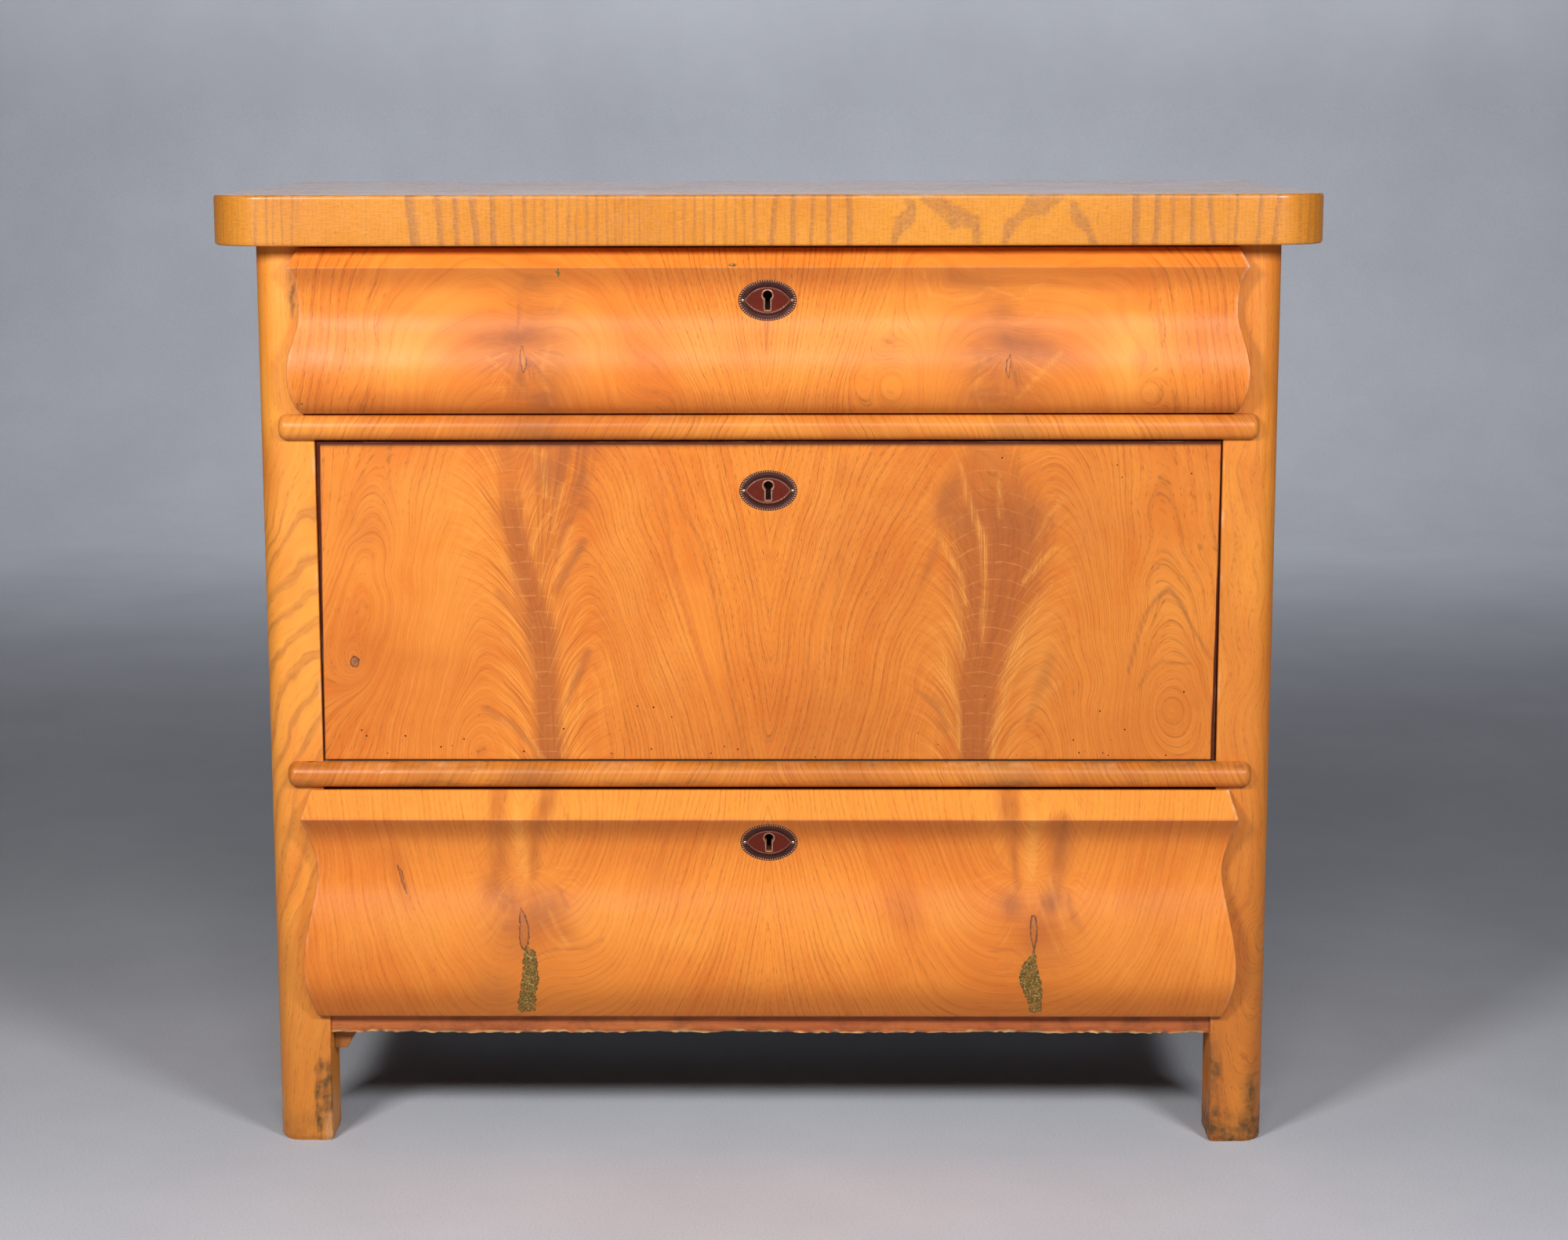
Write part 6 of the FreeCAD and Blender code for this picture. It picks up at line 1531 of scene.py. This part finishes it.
def sliver(points, half):
    """Outline of a thin streak along points."""
    p = np.array(points, float)
    d = np.gradient(p, axis=0)
    d /= np.linalg.norm(d, axis=1)[:, None]
    n = np.stack([-d[:, 1], d[:, 0]], -1)
    w = half * np.sin(np.linspace(0.25, math.pi - 0.25, len(p)))[:, None]
    return [tuple(q) for q in np.concatenate([p + n * w, (p - n * w)[::-1]])]


# Each worm hole is a small near-black disc on the face: painted shade standing in for the hole's depth.
def worm_holes(name, tag, spots, material):
    parts_v, parts_f, off = [], [], 0
    for i, (x, z) in enumerate(spots):
        r = 0.62 + 0.30 * float(noise(i * 1.3, 2.0, 1.0, 13))
        z = float(z)
        y = float(on_face(tag, np.array(z))) + Y0
        ring = np.linspace(0, 2 * math.pi, 12, endpoint=False)
        loops = []
        for rr, dy in ((r, 0.5), (r, -0.05), (r * 0.82, -0.09), (r * 0.25, -0.03)):
            loops.append([(x + rr * (1 + 0.12 * math.sin(2 * t + i)) * math.cos(t), y + dy, z + rr * math.sin(t)) for t in ring])
        v, f = loft(loops)
        parts_v.append(v)
        parts_f += [tuple(k + off for k in q) for q in f]
        off += len(v)
    obj = make(name, np.concatenate(parts_v), parts_f, BODY[tag], None, material, sharp=40, merge=0.001)
    return obj


# ------------------------------------------------------------------ materials in use
ash_front = figured("ash_front", band=0.55)
ash_post = figured("ash_post", gold=(0.860, 0.315, 0.040), amber=(0.780, 0.240, 0.028), line=(0.400, 0.140, 0.030), band=0.35, dirt=(0.058, 0.030, 0.010))
ash_bead = figured("ash_bead", gold=(0.840, 0.300, 0.042), amber=(0.700, 0.205, 0.026), gain=0.85, rough=0.36)
ash_edge = banded("ash_cross_band")
ash_top = board("ash_top", 0, (0.800, 0.300, 0.045), (0.690, 0.222, 0.030), (0.290, 0.088, 0.016), pitch=0.013, tilt=0.25, sway=12.0,
                contrast=0.62, rough=0.24, coat=0.80, age=0.22)
ash_side = board("ash_side", 2, (0.760, 0.285, 0.041), (0.660, 0.210, 0.029), (0.270, 0.080, 0.014), pitch=0.014, tilt=1.25, sway=13.0,
                 contrast=0.60, rough=0.34, coat=0.22, age=0.22)
PINE = dict(pale=(0.520, 0.330, 0.160), deep=(0.430, 0.250, 0.110), line=(0.260, 0.120, 0.040), rough=0.62, age=0.40)
pine_x = board("pine_across", 0, pitch=0.008, tilt=0.4, knots=0.6, **PINE)
pine_y = board("pine_deep", 1, pitch=0.008, tilt=1.1, knots=0.4, **PINE)
under_x = board("pine_under_across", 0, pitch=0.008, tilt=0.4, knots=0.6, underside_shade=True, **PINE)
under_y = board("pine_under_deep", 1, pitch=0.008, tilt=1.1, knots=0.4, underside_shade=True, **PINE)
pine_z = board("pine_upright", 2, pitch=0.009, tilt=0.9, knots=0.4, **PINE)
stain_z = board("stained_upright", 2, (0.560, 0.205, 0.036), (0.440, 0.142, 0.023), (0.190, 0.056, 0.012), pitch=0.008, tilt=0.8,
                contrast=0.55, rough=0.50, age=0.40)
block_pine = board("block_pine", 2, (0.440, 0.170, 0.036), (0.340, 0.115, 0.022), (0.240, 0.080, 0.016), pitch=0.005, tilt=0.6,
                   contrast=0.5, rough=0.5, age=0.3)
core_x = board("front_core", 0, (0.600, 0.260, 0.070), (0.480, 0.180, 0.040), (0.240, 0.080, 0.018), pitch=0.007, tilt=0.5,
               contrast=0.55, rough=0.50, age=0.35)
rail_torn = torn("torn_rail")
copper = pressed_copper("pressed_copper")
pin_bright = metal("pin_bright", (0.640, 0.400, 0.260), (0.360, 0.170, 0.110), 0.22, 1.0, 300.0)
iron = metal("lock_iron", (0.070, 0.055, 0.048), (0.160, 0.070, 0.032), 0.45, 0.85, 90.0, 0.5)
steel = metal("lock_steel", (0.420, 0.400, 0.370), (0.200, 0.150, 0.110), 0.30, 1.0, 160.0)
stopping = filler("crumbled_stopping")
# near-black painted shade for the worm holes
pit = hollow("worm_pit")
knot_wood = knot("knot_wood")
knot_brown = knot("knot_brown", (0.500, 0.142, 0.026), (0.105, 0.034, 0.012))
knot_red = knot("knot_red", (0.420, 0.120, 0.026), (0.110, 0.036, 0.012))
knot_grey = hollow("knot_grey", (0.170, 0.120, 0.075))

# ------------------------------------------------------------------ visible pieces
shaped_front("top", ash_front)
shaped_front("low", ash_front)
flat_front(ash_front)
for side in (-1, 1):
    post(side, ash_post)
top_panel(ash_edge, ash_top)
bead("upper_bead", 672.2, ash_bead, 21, 0.35)
bead("lower_bead", 346.6, ash_bead, 22, 1.0)
torn_rail(rail_torn)
for tag in ("top", "mid", "low"):
    escutcheon(tag, copper, pin_bright)


def left_px(pts, x0, ztop):
    return [(x0 + a / 4.4, ztop - b / 4.4) for a, b in pts]


patch("bottom_drawer_stopping", "low", [
    left_px([(936, 640), (952, 658), (976, 672), (980, 740), (984, 790), (972, 850), (968, 900), (964, 944), (892, 944), (896, 900), (906, 840), (918, 760), (924, 690)], -440, 346),
    left_px([(1092, 636), (1100, 690), (1106, 740), (1120, 800), (1130, 850), (1126, 900), (1130, 944), (1078, 946), (1072, 900), (1050, 856), (1034, 800), (1032, 760), (1050, 716), (1078, 684)], 0, 346)],
    stopping, lift=0.12, rough=0.5, seed=8)
patch("top_drawer_stopping", "top", [oval(-189, 826.5, 1.7, 4.2, 0.15), oval(-31, 833, 3.0, 1.2, 0.1), oval(-426, 706, 3.2, 2.0, 0.4)], stopping,
      step=0.5, lift=0.06, rough=0.2, seed=9, rim=0.5)
patch("top_drawer_slit_knots", "top", [sliver([(-223, 760), (-222.5, 753), (-221.5, 748), (-221, 742), (-221.5, 736)], 3.2),
                                       sliver([(219.5, 752), (218.5, 746), (217.5, 738), (218.5, 730)], 2.4)], knot_wood, step=0.4, lift=0.05, rough=0.05,
      seed=10, ragged=0.4, rim=1.7)
patch("middle_drawer_knot", "mid", [oval(-385, 465, 4.6, 5.4, 0.3)], knot_red, step=0.4, lift=0.04, rough=0.10, seed=11, ragged=0.6, rim=2.0)
patch("middle_drawer_knot_eye", "mid", [oval(-384, 465.5, 2.2, 1.7, 0.2)], knot_grey, step=0.35, lift=0.16, rough=0.10, seed=12)
patch("bottom_drawer_slit_knots", "low", [
    left_px([(912, 486), (932, 520), (946, 560), (950, 600), (944, 640), (930, 668), (912, 650), (904, 610), (908, 560), (906, 520)], -440, 346),
    left_px([(1078, 520), (1096, 520), (1104, 560), (1102, 610), (1096, 650), (1086, 650), (1074, 610), (1072, 560)], 0, 346)],
      knot_brown, step=0.45, lift=0.05, rough=0.1, seed=13, ragged=0.5, rim=2.1)
patch("bottom_drawer_red_streak", "low", [sliver(left_px([(402, 316), (416, 346), (428, 390), (442, 436)], -440, 346), 1.8)],
      knot_red, step=0.45, lift=0.04, rough=0.05, seed=14, ragged=0.4, rim=0.6)

HOLES_LEFT = [(660, 1150), (175, 1213), (195, 1237), (355, 1237), (595, 1250), (545, 1278), (500, 1283), (650, 1300), (280, 1310), (875, 1247),
              (840, 1302), (1235, 1213), (1310, 1112), (1375, 1117), (1200, 1310), (1365, 1292), (1610, 1310), (1665, 1281), (1720, 1293),
              (1450, 1157), (1005, 1207)]
HOLES_RIGHT = [(127, 1290), (185, 1285), (190, 1325), (488, 1300), (610, 1225), (693, 1273), (1018, 1317), (1248, 1254), (1272, 1307), (1295, 1300),
               (1370, 1308), (1392, 1318), (1405, 1255), (1458, 1210), (1355, 1133), (1697, 1053), (1628, 1318), (1430, 170), (1410, 120),
               (1710, 155), (885, 1070), (135, 425), (945, 90), (1012, 92)]
worm_holes("middle_drawer_worm_holes", "mid", [(-420 + a / 4.4, 676 - b / 4.4) for a, b in HOLES_LEFT] + [(a / 4.4, 676 - b / 4.4) for a, b in HOLES_RIGHT], pit)

# ------------------------------------------------------------------ the remaining pieces
def finish_node(name, material, bevel=0.5):
    o = NODES[name]
    o.data.materials.clear()
    o.data.materials.append(material)
    if bevel:
        w = o.modifiers.new("joined", "WELD")
        w.merge_threshold = 0.00001
        b = o.modifiers.new("eased", "BEVEL")
        b.width, b.segments, b.limit_method, b.angle_limit = bevel * 0.001, 2, "ANGLE", math.radians(40)


DONE = {"top_panel", "front_post_left", "front_post_right", "upper_bead", "lower_bead", "bottom_front_rail"}
for name in NODES:
    if name in DONE or name.endswith("_escutcheon") or name.endswith("_escutcheon_pins"):
        continue
    if name in ("bottom_drawer_bottom", "bottom_rear_rail"):
        finish_node(name, under_x)
    elif name.startswith("lower_runner"):
        finish_node(name, under_y)
    elif name.startswith("side_panel"):
        finish_node(name, ash_side)
    elif name.startswith("rear_post"):
        finish_node(name, stain_z, 0.8)
    elif name.endswith("_lock_case") or name == "back_nails":
        finish_node(name, iron, 0.2)
    elif name.endswith("_lock_screws") or name.endswith("_lock_bolt"):
        finish_node(name, steel, 0.12)
    elif name.endswith("_front"):
        finish_node(name, core_x, 0)
    elif name.endswith("_side_left") or name.endswith("_side_right") or "runner" in name or "kicker" in name:
        finish_node(name, pine_y)
    elif name == "corner_glue_block":
        finish_node(name, block_pine, 1.0)
    elif name == "top_dowels":
        finish_node(name, pine_z, 0)
    else:
        finish_node(name, pine_x)

# ------------------------------------------------------------------ floor, light and camera
def sweep():
    g = Graph("studio_grey")
    place = g.place()
    a, b = g.noise(place, 3.0, 4.0, 0.6), g.noise(place, 420.0, 3.0, 0.6)
    col = g.mix(g.span(a, 0.3, 0.7), (0.545, 0.568, 0.628), (0.605, 0.630, 0.690))
    col = g.shade(col, g.span(b, 0.3, 0.7, 0.90, 1.06))
    g.set(Base_Color=col, Roughness=0.92, Specular_IOR_Level=0.15)
    rows = [(-12000.0, 0.0), (3700.0, 0.0)]
    for t in np.linspace(0, math.pi / 2, 24)[1:]:
        rows.append((3700 + 1000 * math.sin(t), 1000 * (1 - math.cos(t))))
    rows.append((4700.0, 6000.0))
    v, f = [], []
    for y, z in rows:
        v += [(-14.0, y * 0.001, z * 0.001), (14.0, y * 0.001, z * 0.001)]
    for i in range(len(rows) - 1):
        f.append((2 * i, 2 * i + 1, 2 * i + 3, 2 * i + 2))
    mesh = bpy.data.meshes.new("studio_sweep")
    mesh.from_pydata(v, [], f)
    mesh.shade_smooth()
    mesh.materials.append(g.mat)
    o = bpy.data.objects.new("studio_sweep", mesh)
    SCENE.collection.objects.link(o)


def soft_box(name, at, aim, wide, tall, power, tint=(1.0, 1.0, 1.0)):
    data = bpy.data.lights.new(name, "AREA")
    data.shape, data.size, data.size_y = "RECTANGLE", wide, tall
    data.energy, data.color = power, tint
    o = bpy.data.objects.new(name, data)
    o.location = at
    o.rotation_euler = (Vector(aim) - Vector(at)).to_track_quat("-Z", "Y").to_euler()
    SCENE.collection.objects.link(o)
    return o


sweep()
soft_box("key", (-1.05, -2.00, 1.50), (0.0, -0.2, 0.46), 0.50, 0.45, 35.0, (1.0, 0.985, 0.96))
soft_box("fill", (1.15, -2.00, 1.50), (0.0, -0.2, 0.46), 0.50, 0.45, 29.0, (0.99, 0.99, 1.0))
soft_box("front", (0.05, -2.35, 1.66), (0.0, -0.2, 0.46), 0.60, 0.40, 11.0)
soft_box("wall_wash", (0.0, 3.75, 2.60), (0.0, 4.7, 1.45), 5.0, 0.4, 52.0)
world = bpy.data.worlds.new("studio_air")
world.use_nodes = True
world.node_tree.nodes["Background"].inputs[0].default_value = (0.92, 0.95, 1.0, 1.0)
world.node_tree.nodes["Background"].inputs[1].default_value = 0.006
SCENE.world = world
SCENE.view_settings.view_transform = "Standard"
SCENE.view_settings.look = "None"
SCENE.view_settings.exposure = 0.0
SCENE.view_settings.gamma = 1.0

lens = bpy.data.cameras.new("front_view")
lens.sensor_fit, lens.sensor_width, lens.lens = "HORIZONTAL", 36.0, 69.43
lens.clip_start, lens.clip_end = 0.05, 60.0
pitch, yaw, roll = 0.16688, -0.00989, -0.0019
fwd = Vector((math.sin(yaw) * math.cos(pitch), math.cos(yaw) * math.cos(pitch), -math.sin(pitch)))
right = Vector((math.cos(yaw), -math.sin(yaw), 0.0))
up = right.cross(fwd)
r2 = right * math.cos(roll) + up * math.sin(roll)
u2 = up * math.cos(roll) - right * math.sin(roll)
eye = bpy.data.objects.new("front_view", lens)
turn = Matrix((r2, u2, -fwd)).transposed().to_4x4()
eye.matrix_world = Matrix.Translation((0.04158, -2.9970, 0.96998)) @ turn
SCENE.collection.objects.link(eye)
SCENE.camera = eye
